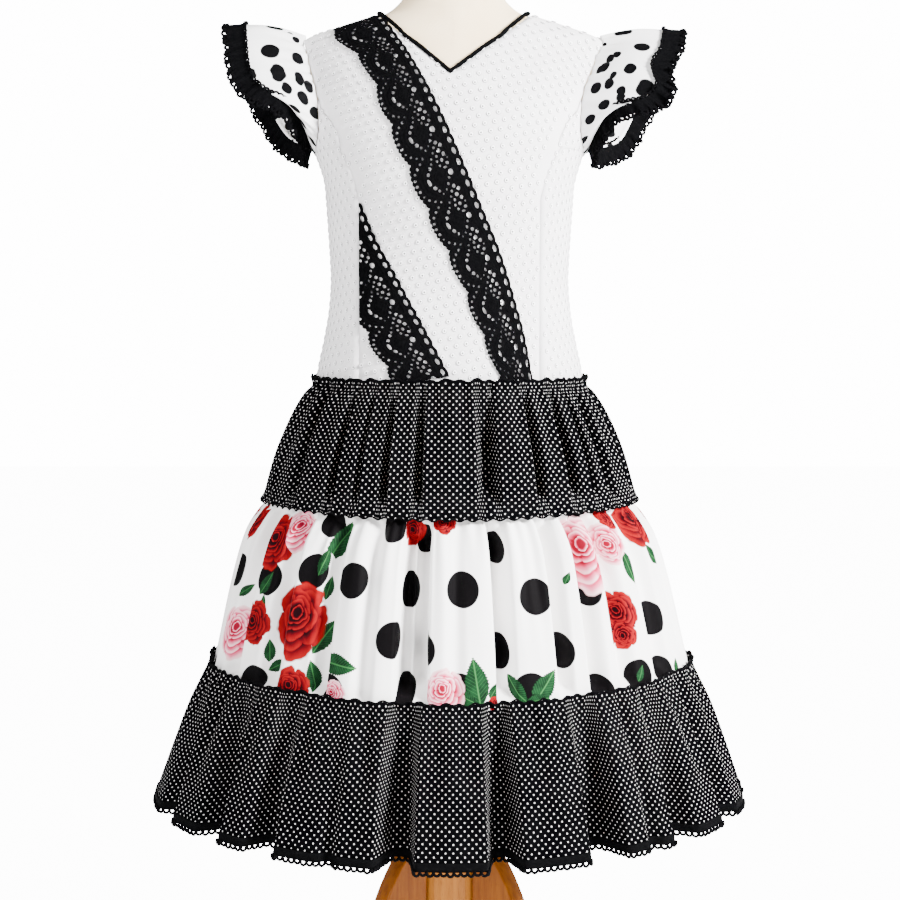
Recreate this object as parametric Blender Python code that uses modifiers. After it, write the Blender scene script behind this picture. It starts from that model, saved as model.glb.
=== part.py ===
# Child's flamenco dress on a limbless dress form with a turned wooden stand.
#
# Metres, +Z up, the front faces -Y. The origin is on the floor, under the middle of the form.
# Round the body and the skirt an angle of 0 is the front middle, and it grows towards +X.
# Every cloth piece is an open outer surface with a Solidify wall that goes inwards.

import math
from collections import namedtuple

import bmesh
import bpy
from mathutils import Vector

MM = 0.001
TAU = 2 * math.pi
QUARTER = math.pi / 2

# ---------------------------------------------------------------- sizes, in mm

BODICE_WALL = 1.2
SKIRT_WALL = 1.5
LACE_WALL = 1.1
TRIM_WALL = 1.6
FORM_GAP = 1.4          # between the body's surface and the cloth on it
FORM_INSET = 0.9        # the form lies this far inside the body's surface
SEAM_GAP = 0.3          # between two pieces that are sewn together
SIDE_SEAM_SHIFT = 0.3   # each bodice panel's step away from the side and shoulder seams
LACE_GAP = 1.0          # the lace lies on round panels with flat facets
SHARP_ANGLE = math.radians(50)
NORMAL_STEP = 0.4       # how far apart the body is sampled for its normal

# The form's surface: ovals by height. lean moves an oval along X, middle along Y.
Section = namedtuple("Section", "height half_width half_depth lean middle power")
BODY = [
    Section(640, 134.0, 100.0, 0.0, 0.0, 2.2),
    Section(700, 131.0, 98.0, 0.0, 0.0, 2.2),
    Section(725, 128.3, 95.5, 0.0, 0.0, 2.2),
    Section(755, 122.0, 91.0, 0.0, 0.0, 2.2),
    Section(785, 116.8, 86.5, 0.0, 0.0, 2.2),
    Section(815, 114.7, 84.5, 0.0, 0.0, 2.2),
    Section(845, 116.0, 86.0, 0.0, 0.0, 2.2),
    Section(875, 117.9, 89.0, 0.0, 0.0, 2.2),
    Section(905, 120.2, 91.5, 0.0, 0.0, 2.2),
    Section(930, 126.0, 91.5, 0.0, 1.0, 2.2),
    Section(950, 133.0, 89.5, 0.0, 2.0, 2.2),
    Section(975, 139.5, 85.0, 0.0, 3.0, 2.1),
    Section(1000, 143.5, 77.5, 0.5, 4.0, 1.95),
    Section(1025, 146.0, 67.0, 2.0, 5.0, 1.7),
    Section(1046, 146.0, 56.5, 3.4, 6.0, 1.5),
    Section(1050, 142.8, 54.6, 3.5, 6.0, 1.5),
    Section(1053, 136.0, 53.2, 3.6, 6.0, 1.5),
    Section(1063, 107.0, 49.5, 4.0, 6.0, 1.5),
    Section(1074, 73.0, 46.5, 4.0, 6.0, 1.7),
    Section(1082, 59.0, 45.5, 4.0, 5.0, 1.9),
    Section(1092, 51.0, 45.0, 4.0, 4.0, 2.0),
    Section(1128, 50.5, 44.5, 4.0, 3.0, 2.0),
]
FORM_BOTTOM, FORM_TOP = 640.0, 1128.0
FORM_HEIGHTS = (640, 700, 755, 815, 875, 915, 945, 975, 1000, 1020, 1037, 1050.5,
                1053.2, 1057, 1064, 1070, 1075, 1080, 1086, 1093, 1128)
FORM_COLUMNS = 28

# Bodice: heights of its rows from the waist up to the underarm, then up to the shoulder.
BODICE_HEIGHTS = (704, 738, 776, 814, 852, 890, 916, 940)
ARMHOLE_HEIGHTS = (943, 950, 961, 976, 992, 1007, 1021, 1033, 1042)
NEAR_RIDGE = math.radians(84.5)     # the last row before the shoulder seam
UNDERARM, SHOULDER_TIP = 940.0, 1050.0
ARMHOLE_INSET = 16.0    # how far the armhole's edge lies inside the silhouette
NECK_POINT = 1075.0     # height of the neckline at the shoulder seam
V_POINT = 1011.0
V_ROWS = 4              # rows between the underarm and the V's point
V_STEPS = (0.22, 0.44, 0.64, 0.82, 0.93)
BACK_NECK = 1061.0
BACK_NECK_ROWS = 6
BACK_NECK_STEPS = (0.36, 0.66, 0.88)
PRINCESS_X = 85.0       # the two princess seams, from the middle
PRINCESS_SWING = (0, 0, 0, 0, 0, 0, 0.1, 0.26, 0.3, 0.42, 0.6, 0.9)   # share of the way to the armhole
PRINCESS_SHARE = 0.6    # a row's height at the seam, between its inner and its outer end
PRINCESS_GAP, PRINCESS_DIP = 0.4, 0.7   # the side panel's step away from the centre front
ARMHOLE_SKEW = 0.8      # puts the armhole's deepest point below its middle
CENTRE_COLUMNS, SIDE_COLUMNS, BACK_COLUMNS = 5, 4, 8

MERGE_DISTANCE = 0.05   # the two halves of the centre front meet along one line

PIPING_RADIUS = 1.7
PIPING_RISE = 2.7       # the piping's middle lies this far above the neckline at the front
PIPING_BACK_RISE = 2.1
PIPING_OUT = 2.9        # and this far outside the body's surface
PIPING_FRONT = (0.02, 0.25, 0.5, 0.72, 0.88, 0.96)  # places along the V, as shares
PIPING_BACK = (0.96, 0.8, 0.55, 0.28, 0.0)

# Lace: its two edges, station by station, from the top down to the waist seam.
LaceStation = namedtuple("LaceStation", "left_x left_z right_x right_z")
LONG_LACE = [
    LaceStation(-106, 1050, -63, 1063),
    LaceStation(-79, 1011, -38, 1029),
    LaceStation(-59, 960, -13, 983),
    LaceStation(-18, 866, 28, 889),
    LaceStation(8, 812, 50, 833),
    LaceStation(21, 778, 61, 795),
    LaceStation(36, 742, 71, 756),
    LaceStation(47, 714, 78, 716),
]
SHORT_LACE = [
    LaceStation(-84.2, 886, -82.5, 889),
    LaceStation(-84.2, 845, -67, 852),
    LaceStation(-84.2, 808, -52, 824),
    LaceStation(-81, 777, -37, 795),
    LaceStation(-66, 743, -17, 757),
    LaceStation(-55, 714, 1, 722),
]
EYELET_WIDTH, EYELET_EDGE = 3.4, 2.2    # the eyelet chain along the straight edge
EYELET_OPEN = 0.66                      # share of a repeat that the hole takes
EYELETS_PER_SCALLOP = 4
SCALLOP_DEPTH, SCALLOP_ROUND = 4.5, 0.6

# Skirt: outlines of the outer folds by height. bunch is the depth of the gathers there.
Outline = namedtuple("Outline", "height half_width half_depth bunch fall power")
TIER_1 = [
    Outline(724, 139.4, 108.0, 2.4, 0, 2.2),
    Outline(714, 136.5, 105.1, 2.4, 0, 2.2),
    Outline(703, 146.0, 111.5, 4.2, 0, 2.15),
    Outline(680, 159.5, 120.0, 4.6, 1, 2.1),
    Outline(640, 176.5, 136.0, 3.0, 3, 2.05),
    Outline(597, 188.0, 152.0, 0.3, 5, 2.0),
]
TIER_2 = [
    Outline(607, 180.4, 144.0, 2.0, 5, 2.0),
    Outline(595, 184.5, 148.5, 2.2, 5, 2.0),
    Outline(587, 192.0, 156.0, 3.8, 5, 2.0),
    Outline(565, 206.0, 169.0, 4.6, 5, 2.0),
    Outline(520, 220.0, 184.0, 2.6, 6, 2.0),
    Outline(432, 240.6, 200.6, 0.3, 8, 2.0),
]
TIER_3 = [
    Outline(442, 247.0, 207.0, 2.0, 8, 2.0),
    Outline(433, 245.5, 205.5, 2.0, 8, 2.0),
    Outline(419, 253.0, 212.0, 4.6, 7, 2.0),
    Outline(392, 265.5, 222.0, 5.2, 5, 2.0),
    Outline(352, 280.0, 231.0, 3.0, 4, 2.0),
    Outline(305, 296.0, 238.0, 0.6, 10.5, 2.0),
]
HEM_TRIM_DROP, HEM_TRIM_FLARE = 11.2, 3.2
GATHERS = {"tier_1": 36, "tier_2": 44, "tier_3": 52}
HEADING_WAVE = 1.8      # how far the heading's edge rises and falls with the gathers

# Folds: a valley that runs down a tier, by its angle, half width and depth. The first two
# lists are deepest half way down their tier, the others at the seam or the hem.
Fold = namedtuple("Fold", "angle half_angle depth")
TIER_1_FOLDS = [
    Fold(-36, 8, 9), Fold(-20, 7, 6), Fold(-9, 6, 6), Fold(12, 9, 7),
    Fold(56, 10, 7), Fold(104, 12, 8), Fold(168, 12, 8), Fold(-112, 12, 8),
]
TIER_2_FOLDS = [
    Fold(-46, 8, 7), Fold(-31, 7, 10), Fold(-8, 6, 10), Fold(12, 6, 8), Fold(34, 7, 8),
    Fold(52, 8, 8), Fold(92, 10, 9), Fold(138, 10, 9), Fold(-166, 10, 9), Fold(-110, 10, 9),
]
SEAM_2_FOLDS = [
    Fold(-33, 10, 5), Fold(-9, 8, 7), Fold(12, 8, 6), Fold(31, 8, 5), Fold(62, 10, 5),
    Fold(98, 12, 6), Fold(142, 12, 6), Fold(-176, 12, 6), Fold(-134, 12, 6), Fold(-84, 12, 6),
]
HEM_FOLDS = [
    Fold(-68, 7, 14), Fold(-50, 5.5, 17), Fold(-37, 5.5, 18), Fold(-9.6, 6, 31),
    Fold(9.7, 5.5, 28), Fold(29.5, 6, 28), Fold(47.5, 6, 18), Fold(66, 7, 15),
    Fold(85, 7, 20), Fold(107, 8, 26), Fold(128, 8, 18), Fold(150, 8, 29),
    Fold(172, 8, 22), Fold(-165, 8, 27), Fold(-143, 8, 20), Fold(-120, 8, 27),
    Fold(-95, 8, 20),
]

# Flounce sleeves: the free edge round the arm. turn 0 is the top and 90 the front, and x
# grows outwards on both sides.
SleeveEdge = namedtuple("SleeveEdge", "turn x y z")
SLEEVE_EDGE = {
    "right": [
        SleeveEdge(0, 204, 6, 1064),
        SleeveEdge(35, 199, -34, 1040),
        SleeveEdge(75, 192, -58, 1008),
        SleeveEdge(105, 179, -63, 990),
        SleeveEdge(132, 158, -54, 977),
        SleeveEdge(156, 145, -34, 962),
        SleeveEdge(180, 137, 2, 944),
        SleeveEdge(210, 150, 36, 951),
        SleeveEdge(238, 167, 58, 964),
        SleeveEdge(275, 183, 72, 988),
        SleeveEdge(318, 200, 52, 1036),
    ],
    "left": [
        SleeveEdge(0, 214, 6, 1057),
        SleeveEdge(30, 207, -30, 1034),
        SleeveEdge(52, 197, -46, 1021),
        SleeveEdge(80, 200, -60, 1001),
        SleeveEdge(103, 187, -62, 981),
        SleeveEdge(122, 171, -60, 975),
        SleeveEdge(142, 155, -50, 967),
        SleeveEdge(162, 145, -30, 956),
        SleeveEdge(180, 138, 2, 944),
        SleeveEdge(208, 153, 34, 947),
        SleeveEdge(236, 173, 56, 957),
        SleeveEdge(275, 190, 70, 985),
        SleeveEdge(318, 208, 50, 1033),
    ],
}
SLEEVE_COLUMNS, SLEEVE_GATHERS = 40, 8
SLEEVE_ROWS = (0.0, 0.14, 0.34, 0.64)  # and one before the edge, and the edge
SLEEVE_BUNCH = 2.4
SLEEVE_RUFFLE, SLEEVE_RUFFLES = 2.6, 3
SLEEVE_CROWN = 5.0      # how far the flounce arches between armhole and edge
SLEEVE_MIDDLE = 985.0   # height of the arm's middle
SLEEVE_FULL = 60.0      # the flounce ruffles fully from this length on
SLEEVE_TRIM = 19.0
SLEEVE_TRIM_GAP = 0.8
TRIM_RUN = 3.0          # the cloth's last strip points the way the trim goes
TRIM_LIFT, TRIM_DROP = 6.0, 72.0     # the trim's slope at the top and at the underarm, in degrees
TRIM_FLARE = 0.25
ARMHOLE_STEP, ARMHOLE_OUT = 1.2, 0.3    # from the bodice's edge to the sleeve's gathered seam

# Stand
POLE_RADIUS = 12.5
COLUMN_RADIUS, COLUMN_TOP, COLUMN_BOTTOM = 32.0, 262.0, 62.0
COLUMN_RIM, COLUMN_CHAMFER = 9.0, 6.0
LEG_THICKNESS = 24.0
LEG_TURNS = (-30, 90, 210)
LegPoint = namedtuple("LegPoint", "radius height")
LEG_OUTLINE = [
    LegPoint(32.6, 256), LegPoint(44, 250), LegPoint(57, 237), LegPoint(68, 220),
    LegPoint(78, 200), LegPoint(86, 180), LegPoint(97, 150), LegPoint(111, 115),
    LegPoint(128, 80), LegPoint(148, 48), LegPoint(168, 26), LegPoint(188, 16),
    LegPoint(199, 9), LegPoint(200, 0), LegPoint(158, 0), LegPoint(148, 8),
    LegPoint(128, 30), LegPoint(104, 56), LegPoint(80, 74), LegPoint(56, 83),
    LegPoint(32.6, 86),
]
CAP_HEIGHT, CAP_OVERHANG, CAP_BEVEL = 12.0, 2.0, 3.0

# Zip at the centre back
ZIP_HEIGHT = 1046.0
SLIDER_SIZE = (6.4, 2.4, 8.0)
SLIDER_GAP = 0.9        # clear of the two back panels' rounded middle
EAR_SIZE = (1.2, 4.2, 3.0)
EAR_ROOT = 0.6          # how deep the ears stand in the slider
PIN_RADIUS, PIN_REACH = 0.8, 4.8    # the pin's middle lies this far out from the slider's base
PULL_EYE_RADIUS, PULL_EYE_WIDTH, PULL_CLEARANCE = 2.0, 3.2, 0.3
PULL_NECK, PULL_NECK_START = (3.0, 1.2, 4.0), 1.5
PULL_SIZE, PULL_START = (4.6, 1.2, 19.0), 5.1
PULL_TILT = 15.0        # the pull leans back against the sloping cloth
SLOPE_SPAN = 10.0       # the cloth's slope is taken over this height

COLOURS = {
    "white_eyelet_cotton": ((0.86, 0.85, 0.85), 0.9, 0.0),
    "black_lace": ((0.008, 0.008, 0.009), 0.8, 0.0),
    "black_trim": ((0.007, 0.007, 0.008), 0.75, 0.0),
    "pin_dot_cotton": ((0.02, 0.02, 0.022), 0.85, 0.0),
    "printed_satin_cotton": ((0.82, 0.80, 0.78), 0.6, 0.0),
    "dotted_cotton": ((0.83, 0.82, 0.82), 0.8, 0.0),
    "cream_jersey": ((0.87, 0.79, 0.68), 0.9, 0.0),
    "lacquered_beech": ((0.55, 0.24, 0.07), 0.3, 0.0),
    "zip_metal": ((0.6, 0.6, 0.6), 0.35, 1.0),
}


# ---------------------------------------------------------------- small tools

def clear_scene():
    for thing in list(bpy.data.objects):
        bpy.data.objects.remove(thing, do_unlink=True)


def make_collection(name):
    collection = bpy.data.collections.new(name)
    bpy.context.scene.collection.children.link(collection)
    return collection


def make_materials():
    materials = {}
    for name, (colour, roughness, metallic) in COLOURS.items():
        material = bpy.data.materials.new(name)
        material.use_nodes = True
        shader = material.node_tree.nodes["Principled BSDF"]
        shader.inputs["Base Color"].default_value = (*colour, 1.0)
        shader.inputs["Roughness"].default_value = roughness
        shader.inputs["Metallic"].default_value = metallic
        materials[name] = material
    return materials


def steady_slopes(places, values):
    # slopes for a smooth curve that never swings past its own points
    steps = []
    for i in range(len(places) - 1):
        steps.append((values[i + 1] - values[i]) / (places[i + 1] - places[i]))
    slopes = [steps[0]]
    for before, after in zip(steps, steps[1:]):
        slopes.append(0.0 if before * after <= 0 else 2 * before * after / (before + after))
    slopes.append(steps[-1])
    return slopes


def hermite(places, values, slopes, place):
    place = min(max(place, places[0]), places[-1])
    i = 0
    while i < len(places) - 2 and place > places[i + 1]:
        i += 1
    width = places[i + 1] - places[i]
    t = (place - places[i]) / width
    start = (1 + 2 * t) * (1 - t) ** 2 * values[i] + t * (1 - t) ** 2 * width * slopes[i]
    end = t * t * (3 - 2 * t) * values[i + 1] + t * t * (t - 1) * width * slopes[i + 1]
    return start + end


def read_between(rows, places, place):
    # a row of the table's own kind, read smoothly between its rows
    kind = type(rows[0])
    order = sorted(range(len(rows)), key=lambda i: places[i])
    at = [places[i] for i in order]
    values = []
    for column in range(len(kind._fields)):
        numbers = [rows[i][column] for i in order]
        values.append(hermite(at, numbers, steady_slopes(at, numbers), place))
    return kind(*values)


def read_height(rows, height):
    return read_between(rows, [row.height for row in rows], height)


def signed_power(value, power):
    return math.copysign(abs(value) ** power, value)


def blend(start, end, share):
    return start + (end - start) * share


def smooth_step(share):
    share = min(max(share, 0.0), 1.0)
    return share * share * (3 - 2 * share)


# ---------------------------------------------------------------- the body's surface

def body_angle(x, height):
    # the front angle at which the body's oval at this height reaches x
    section = read_height(BODY, height)
    share = min(abs(x - section.lean) / section.half_width, 1.0)
    return math.copysign(math.asin(share ** (section.power / 2)), x - section.lean)


def body_point(angle, height, out=0.0):
    section = read_height(BODY, height)
    power = 2 / section.power
    x = section.lean + section.half_width * signed_power(math.sin(angle), power)
    y = section.middle - section.half_depth * signed_power(math.cos(angle), power)
    return move_out(Vector((x, y, height)), out)


def body_value(point):
    section = read_height(BODY, point.z)
    across = abs(point.x - section.lean) / section.half_width
    along = abs(point.y - section.middle) / section.half_depth
    return across ** section.power + along ** section.power


def move_out(point, out):
    # along the surface's own normal
    if not out:
        return point
    slope = []
    for axis in (Vector((1, 0, 0)), Vector((0, 1, 0)), Vector((0, 0, 1))):
        step = axis * NORMAL_STEP
        slope.append(body_value(point + step) - body_value(point - step))
    return point + Vector(slope).normalized() * out


CLOTH_OUT = FORM_GAP + BODICE_WALL


# ---------------------------------------------------------------- meshes

def new_object(name, points, faces, material, collection):
    mesh = bpy.data.meshes.new(name)
    mesh.from_pydata([Vector(point) * MM for point in points], [], faces)
    mesh.materials.append(material)
    thing = bpy.data.objects.new(name, mesh)
    shade_round(thing)
    collection.objects.link(thing)
    return thing


def grid_faces(rows, columns, closed=False, holes=(), first=0):
    # rows run upwards and columns to the right, seen from outside
    faces = []
    for row in range(rows - 1):
        for column in range(columns if closed else columns - 1):
            if (row, column) in holes:
                continue
            after = (column + 1) % columns
            low, high = first + row * columns, first + (row + 1) * columns
            faces.append((low + column, low + after, high + after, high + column))
    return faces


def add_wall(thing, thickness):
    wall = thing.modifiers.new("wall", "SOLIDIFY")
    wall.thickness = thickness * MM
    wall.offset = -1.0
    wall.use_even_offset = False
    return thing


def cloth_grid(name, rows, wall, material, collection, closed=False, holes=()):
    points = [point for row in rows for point in row]
    faces = grid_faces(len(rows), len(rows[0]), closed, holes)
    thing = new_object(name, points, faces, material, collection)
    drop_loose_points(thing.data)
    return add_wall(thing, wall)


def shade_round(thing):
    # soft shading, with the edges sharper than SHARP_ANGLE kept crisp
    thing.data.shade_smooth()
    thing.data.set_sharp_from_angle(angle=SHARP_ANGLE)


def drop_loose_points(mesh):
    shape = bmesh.new()
    shape.from_mesh(mesh)
    loose = [vertex for vertex in shape.verts if not vertex.link_faces]
    bmesh.ops.delete(shape, geom=loose, context="VERTS")
    shape.to_mesh(mesh)
    shape.free()


def merge_points(mesh, distance):
    shape = bmesh.new()
    shape.from_mesh(mesh)
    bmesh.ops.remove_doubles(shape, verts=shape.verts, dist=distance)
    shape.to_mesh(mesh)
    shape.free()


# ---------------------------------------------------------------- bodice

def armhole_share(height):
    share = (height - UNDERARM) / (SHOULDER_TIP - UNDERARM)
    return min(max(share, 0.0), 1.0)


def armhole_angle(height):
    # the angle of the armhole's front edge at this height
    section = read_height(BODY, height)
    inset = ARMHOLE_INSET * math.sin(math.pi * armhole_share(height) ** ARMHOLE_SKEW)
    return body_angle(section.lean + section.half_width - inset, height)


def neck_x():
    section = read_height(BODY, NECK_POINT)
    return section.half_width


def armhole_edge(share):
    height = blend(UNDERARM, SHOULDER_TIP, share)
    return armhole_angle(height), height


def v_edge(share):
    # the V's edge from its point to the neck point, as an angle and a height
    height = blend(V_POINT, NECK_POINT, share)
    if share >= 1:
        return QUARTER, height
    section = read_height(BODY, height)
    return body_angle(section.lean + neck_x() * share, height), height


def back_neck_edge(share):
    height = BACK_NECK + (NECK_POINT - BACK_NECK) * (1 - math.sqrt(1 - min(share, 1) ** 2))
    if share >= 1:
        return QUARTER, height
    section = read_height(BODY, height)
    return body_angle(section.lean + neck_x() * share, height), height


def near_ridge(edge):
    # the place on an edge just short of the shoulder seam
    low, high = 0.8, 1.0
    for step in range(30):
        middle = (low + high) / 2
        if edge(middle)[0] < NEAR_RIDGE:
            low = middle
        else:
            high = middle
    return NEAR_RIDGE, edge(low)[1]


def panel_ends(front):
    # for each row: the outer edge and the inner edge, as (angle from the middle, height)
    ends = []
    for height in BODICE_HEIGHTS:
        ends.append(((QUARTER, height), (0.0, height)))
    middle_rows = V_ROWS if front else BACK_NECK_ROWS
    middle_top = V_POINT if front else BACK_NECK
    steps = V_STEPS if front else BACK_NECK_STEPS
    edge = v_edge if front else back_neck_edge
    for row, height in enumerate(ARMHOLE_HEIGHTS):
        if row < middle_rows:
            share = (row + 1) / middle_rows
            inner = (0.0, blend(BODICE_HEIGHTS[-1], middle_top, share))
        else:
            inner = edge(steps[row - middle_rows])
        ends.append(((armhole_angle(height), height), inner))
    ends.append((near_ridge(armhole_edge), near_ridge(edge)))
    ends.append(((QUARTER, SHOULDER_TIP), (QUARTER, NECK_POINT)))
    return ends


def princess_place(row, outer, inner):
    # where the princess seam crosses this row
    height = blend(inner[1], outer[1], PRINCESS_SHARE)
    seam = body_angle(PRINCESS_X, height)
    swing = PRINCESS_SWING[row] if row < len(PRINCESS_SWING) else 1.0
    angle = blend(seam, outer[0], swing)
    share = (angle - inner[0]) / (outer[0] - inner[0])
    return angle, blend(inner[1], outer[1], share)


def panel_row(start, end, columns, side, back=False, shift=(0, 0)):
    # points of a row from start to end, as seen from outside on the given side
    points = []
    for column in range(columns + 1):
        share = column / columns
        angle = blend(start[0], end[0], share)
        height = blend(start[1], end[1], share)
        turn = math.pi - angle if back else angle
        point = body_point(side * turn, height, CLOTH_OUT)
        points.append(point + Vector((side * shift[0], shift[1], 0)))
    return points


def build_centre_front(material, collection):
    ends = panel_ends(front=True)
    points = []
    faces = []
    shift = (0, -SIDE_SEAM_SHIFT)
    for side in (-1, 1):
        first = len(points)
        for row, (outer, inner) in enumerate(ends):
            if row < len(PRINCESS_SWING):
                outer = princess_place(row, outer, inner)
            line = panel_row(inner, outer, CENTRE_COLUMNS, side, shift=shift)
            points.extend(line if side > 0 else line[::-1])
        faces.extend(grid_faces(len(ends), CENTRE_COLUMNS + 1, first=first))
    thing = new_object("bodice_centre_front", points, faces, material, collection)
    merge_points(thing.data, MERGE_DISTANCE * MM)
    add_wall(thing, BODICE_WALL)


def build_side_front(name, side, material, collection):
    ends = panel_ends(front=True)
    rows = []
    for row in range(len(PRINCESS_SWING)):
        outer, inner = ends[row]
        seam = princess_place(row, outer, inner)
        line = panel_row(seam, outer, SIDE_COLUMNS, side, shift=(PRINCESS_GAP, -SIDE_SEAM_SHIFT))
        dip = Vector((0, 0, PRINCESS_DIP * PRINCESS_SWING[row]))
        line = [point - dip for point in line]
        rows.append(line if side > 0 else line[::-1])
    cloth_grid(name, rows, BODICE_WALL, material, collection)


def build_back(name, side, material, collection):
    rows = []
    for outer, inner in panel_ends(front=False):
        line = panel_row(inner, outer, BACK_COLUMNS, side, back=True,
                         shift=(SIDE_SEAM_SHIFT, SIDE_SEAM_SHIFT))
        rows.append(line[::-1] if side > 0 else line)
    cloth_grid(name, rows, BODICE_WALL, material, collection)


# ---------------------------------------------------------------- neck piping

def piping_path():
    # a closed loop just inside the neckline: up the V from its point, then round the back
    half = [(angle, height + PIPING_RISE) for angle, height in map(v_edge, PIPING_FRONT)]
    half.append((QUARTER, NECK_POINT + PIPING_BACK_RISE))
    for angle, height in map(back_neck_edge, PIPING_BACK):
        half.append((math.pi - angle, height + PIPING_BACK_RISE))
    bottom = body_point(0.0, V_POINT + PIPING_RISE, PIPING_OUT)
    right = [body_point(angle, height, PIPING_OUT) for angle, height in half]
    left = [body_point(-angle, height, PIPING_OUT) for angle, height in reversed(half[:-1])]
    return [bottom] + right + left


def build_piping(material, collection):
    curve = bpy.data.curves.new("neck_piping", "CURVE")
    curve.dimensions = "3D"
    curve.bevel_depth = PIPING_RADIUS * MM
    curve.bevel_resolution = 1
    spline = curve.splines.new("POLY")
    path = piping_path()
    spline.points.add(len(path) - 1)
    for place, point in zip(spline.points, path):
        place.co = (*(point * MM), 1.0)
    spline.use_cyclic_u = True
    curve.materials.append(material)
    thing = bpy.data.objects.new("neck_piping", curve)
    collection.objects.link(thing)


# ---------------------------------------------------------------- lace

def front_point(x, height, out):
    return body_point(body_angle(x, height), height, out)


def lace_columns(eyelets):
    # places along the lace, as shares of its length: the two ends of each eyelet's hole
    places = []
    for eyelet in range(eyelets):
        places.append((eyelet + (1 - EYELET_OPEN) / 2) / eyelets)
        places.append((eyelet + (1 + EYELET_OPEN) / 2) / eyelets)
    return [0.0] + places + [1.0]


def build_lace(name, stations, eyelets, taper, material, collection):
    # taper: share of the length over which the lace grows from its pointed top
    at = [i / (len(stations) - 1) for i in range(len(stations))]
    out = CLOTH_OUT + LACE_GAP + LACE_WALL
    rows = [[] for line in range(5)]
    for share in lace_columns(eyelets):
        station = read_between(stations, at, share)
        left = Vector((station.left_x, 0, station.left_z))
        right = Vector((station.right_x, 0, station.right_z))
        width = (right - left).length
        scallop = abs(math.sin(math.pi * share * eyelets / EYELETS_PER_SCALLOP)) ** SCALLOP_ROUND
        open_share = smooth_step(share / taper) if taper else 1.0
        notch = SCALLOP_DEPTH * (1 - scallop) * open_share
        edge = min(EYELET_EDGE + EYELET_WIDTH, 0.5 * width)
        inner = edge * EYELET_EDGE / (EYELET_EDGE + EYELET_WIDTH) * 0.5
        solid = width - edge
        places = (width, width - inner, solid, blend(solid, notch, 0.5), notch)
        for row, place in zip(rows, places):
            flat = left + (right - left) * (place / width)
            row.append(front_point(flat.x, flat.z, out) - Vector((0, SIDE_SEAM_SHIFT, 0)))
    first = 0 if not taper else int(taper * eyelets) + 1
    holes = [(1, 1 + 2 * eyelet) for eyelet in range(first, eyelets)]
    # rows run from the straight edge to the scalloped one, columns downwards
    cloth_grid(name, rows[::-1], LACE_WALL, material, collection,
               holes=[(len(rows) - 2 - row, column) for row, column in holes])


# ---------------------------------------------------------------- skirt

def fold_depth(folds, angle):
    depth = 0.0
    for fold in folds:
        away = abs((math.degrees(angle) - fold.angle + 180) % 360 - 180)
        if away < fold.half_angle:
            depth = max(depth, fold.depth * 0.5 * (1 + math.cos(math.pi * away / fold.half_angle)))
    return depth


def bunch_share(gather):
    # gathers are never all alike
    return 0.78 + 0.22 * math.sin(2.4 * gather) * math.cos(0.9 * gather + 1)


def skirt_point(outline, angle, inward):
    power = 2 / outline.power
    x = signed_power(math.sin(angle), power)
    y = -signed_power(math.cos(angle), power)
    flat = Vector((outline.half_width * x, outline.half_depth * y, 0))
    normal = Vector((signed_power(x, outline.power - 1) / outline.half_width,
                     signed_power(y, outline.power - 1) / outline.half_depth, 0)).normalized()
    height = outline.height - outline.fall * abs(math.cos(angle)) ** 3
    return flat - normal * inward + Vector((0, 0, height))


def tier_ring(outline, drop, folds, gathers, raised=0.0):
    # folds: those of the seam above, of the tier's middle and of the seam below
    above, middle, below = folds
    points = []
    columns = 2 * gathers
    for column in range(columns):
        angle = TAU * column / columns - math.pi
        valley = column % 2
        fold = blend(fold_depth(above, angle), fold_depth(below, angle), drop ** 1.3)
        fold += fold_depth(middle, angle) * math.sin(math.pi * drop) ** 2
        bunch = outline.bunch * bunch_share(column // 2) * valley
        point = skirt_point(outline, angle, fold + bunch)
        point.z += raised * (0.5 - valley)
        points.append(point)
    return points


def build_tier(name, outlines, folds, heading, material, collection):
    top, bottom = outlines[0].height, outlines[-1].height
    rings = []
    for outline in reversed(outlines):
        drop = (top - outline.height) / (top - bottom)
        raised = HEADING_WAVE if heading and outline is outlines[0] else 0.0
        ring = tier_ring(outline, drop, folds, GATHERS[name], raised)
        rings.append(ring)
    cloth_grid(name, rings, SKIRT_WALL, material, collection, closed=True)


def build_hem_trim(material, collection):
    hem = TIER_3[-1]
    rings = []
    for drop in (HEM_TRIM_DROP, SEAM_GAP + 0.2):
        flare = HEM_TRIM_FLARE * drop / HEM_TRIM_DROP
        outline = hem._replace(height=hem.height - drop, half_width=hem.half_width + flare,
                               half_depth=hem.half_depth + flare * 0.5)
        rings.append(tier_ring(outline, 1.0, ([], [], HEM_FOLDS), GATHERS["tier_3"]))
    cloth_grid("hem_trim", rings, SKIRT_WALL, material, collection, closed=True)


# ---------------------------------------------------------------- sleeves

def armhole_point(turn):
    # the sleeve's start, just inside the armhole's edge. turn 0 is the shoulder tip
    height = blend(UNDERARM, SHOULDER_TIP, 0.5 * (1 + math.cos(turn)))
    angle = QUARTER if math.sin(turn) ** 2 < 1e-9 else armhole_angle(height)
    if math.sin(turn) < 0:
        angle = math.pi - angle
    point = body_point(angle, height, FORM_GAP + BODICE_WALL)
    middle = Vector((point.x, read_height(BODY, SLEEVE_MIDDLE).middle, 0.5 * (UNDERARM + SHOULDER_TIP)))
    inward = (middle - point).normalized()
    return point + inward * ARMHOLE_STEP + Vector((ARMHOLE_OUT, 0, 0))


def sleeve_edge_point(table, turn):
    turns = []
    rows = []
    for lap in (-1, 0, 1):
        for row in table:
            turns.append(row.turn + 360 * lap)
            rows.append(row)
    edge = read_between(rows, turns, math.degrees(turn) % 360)
    return Vector((edge.x, edge.y, edge.z))


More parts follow.
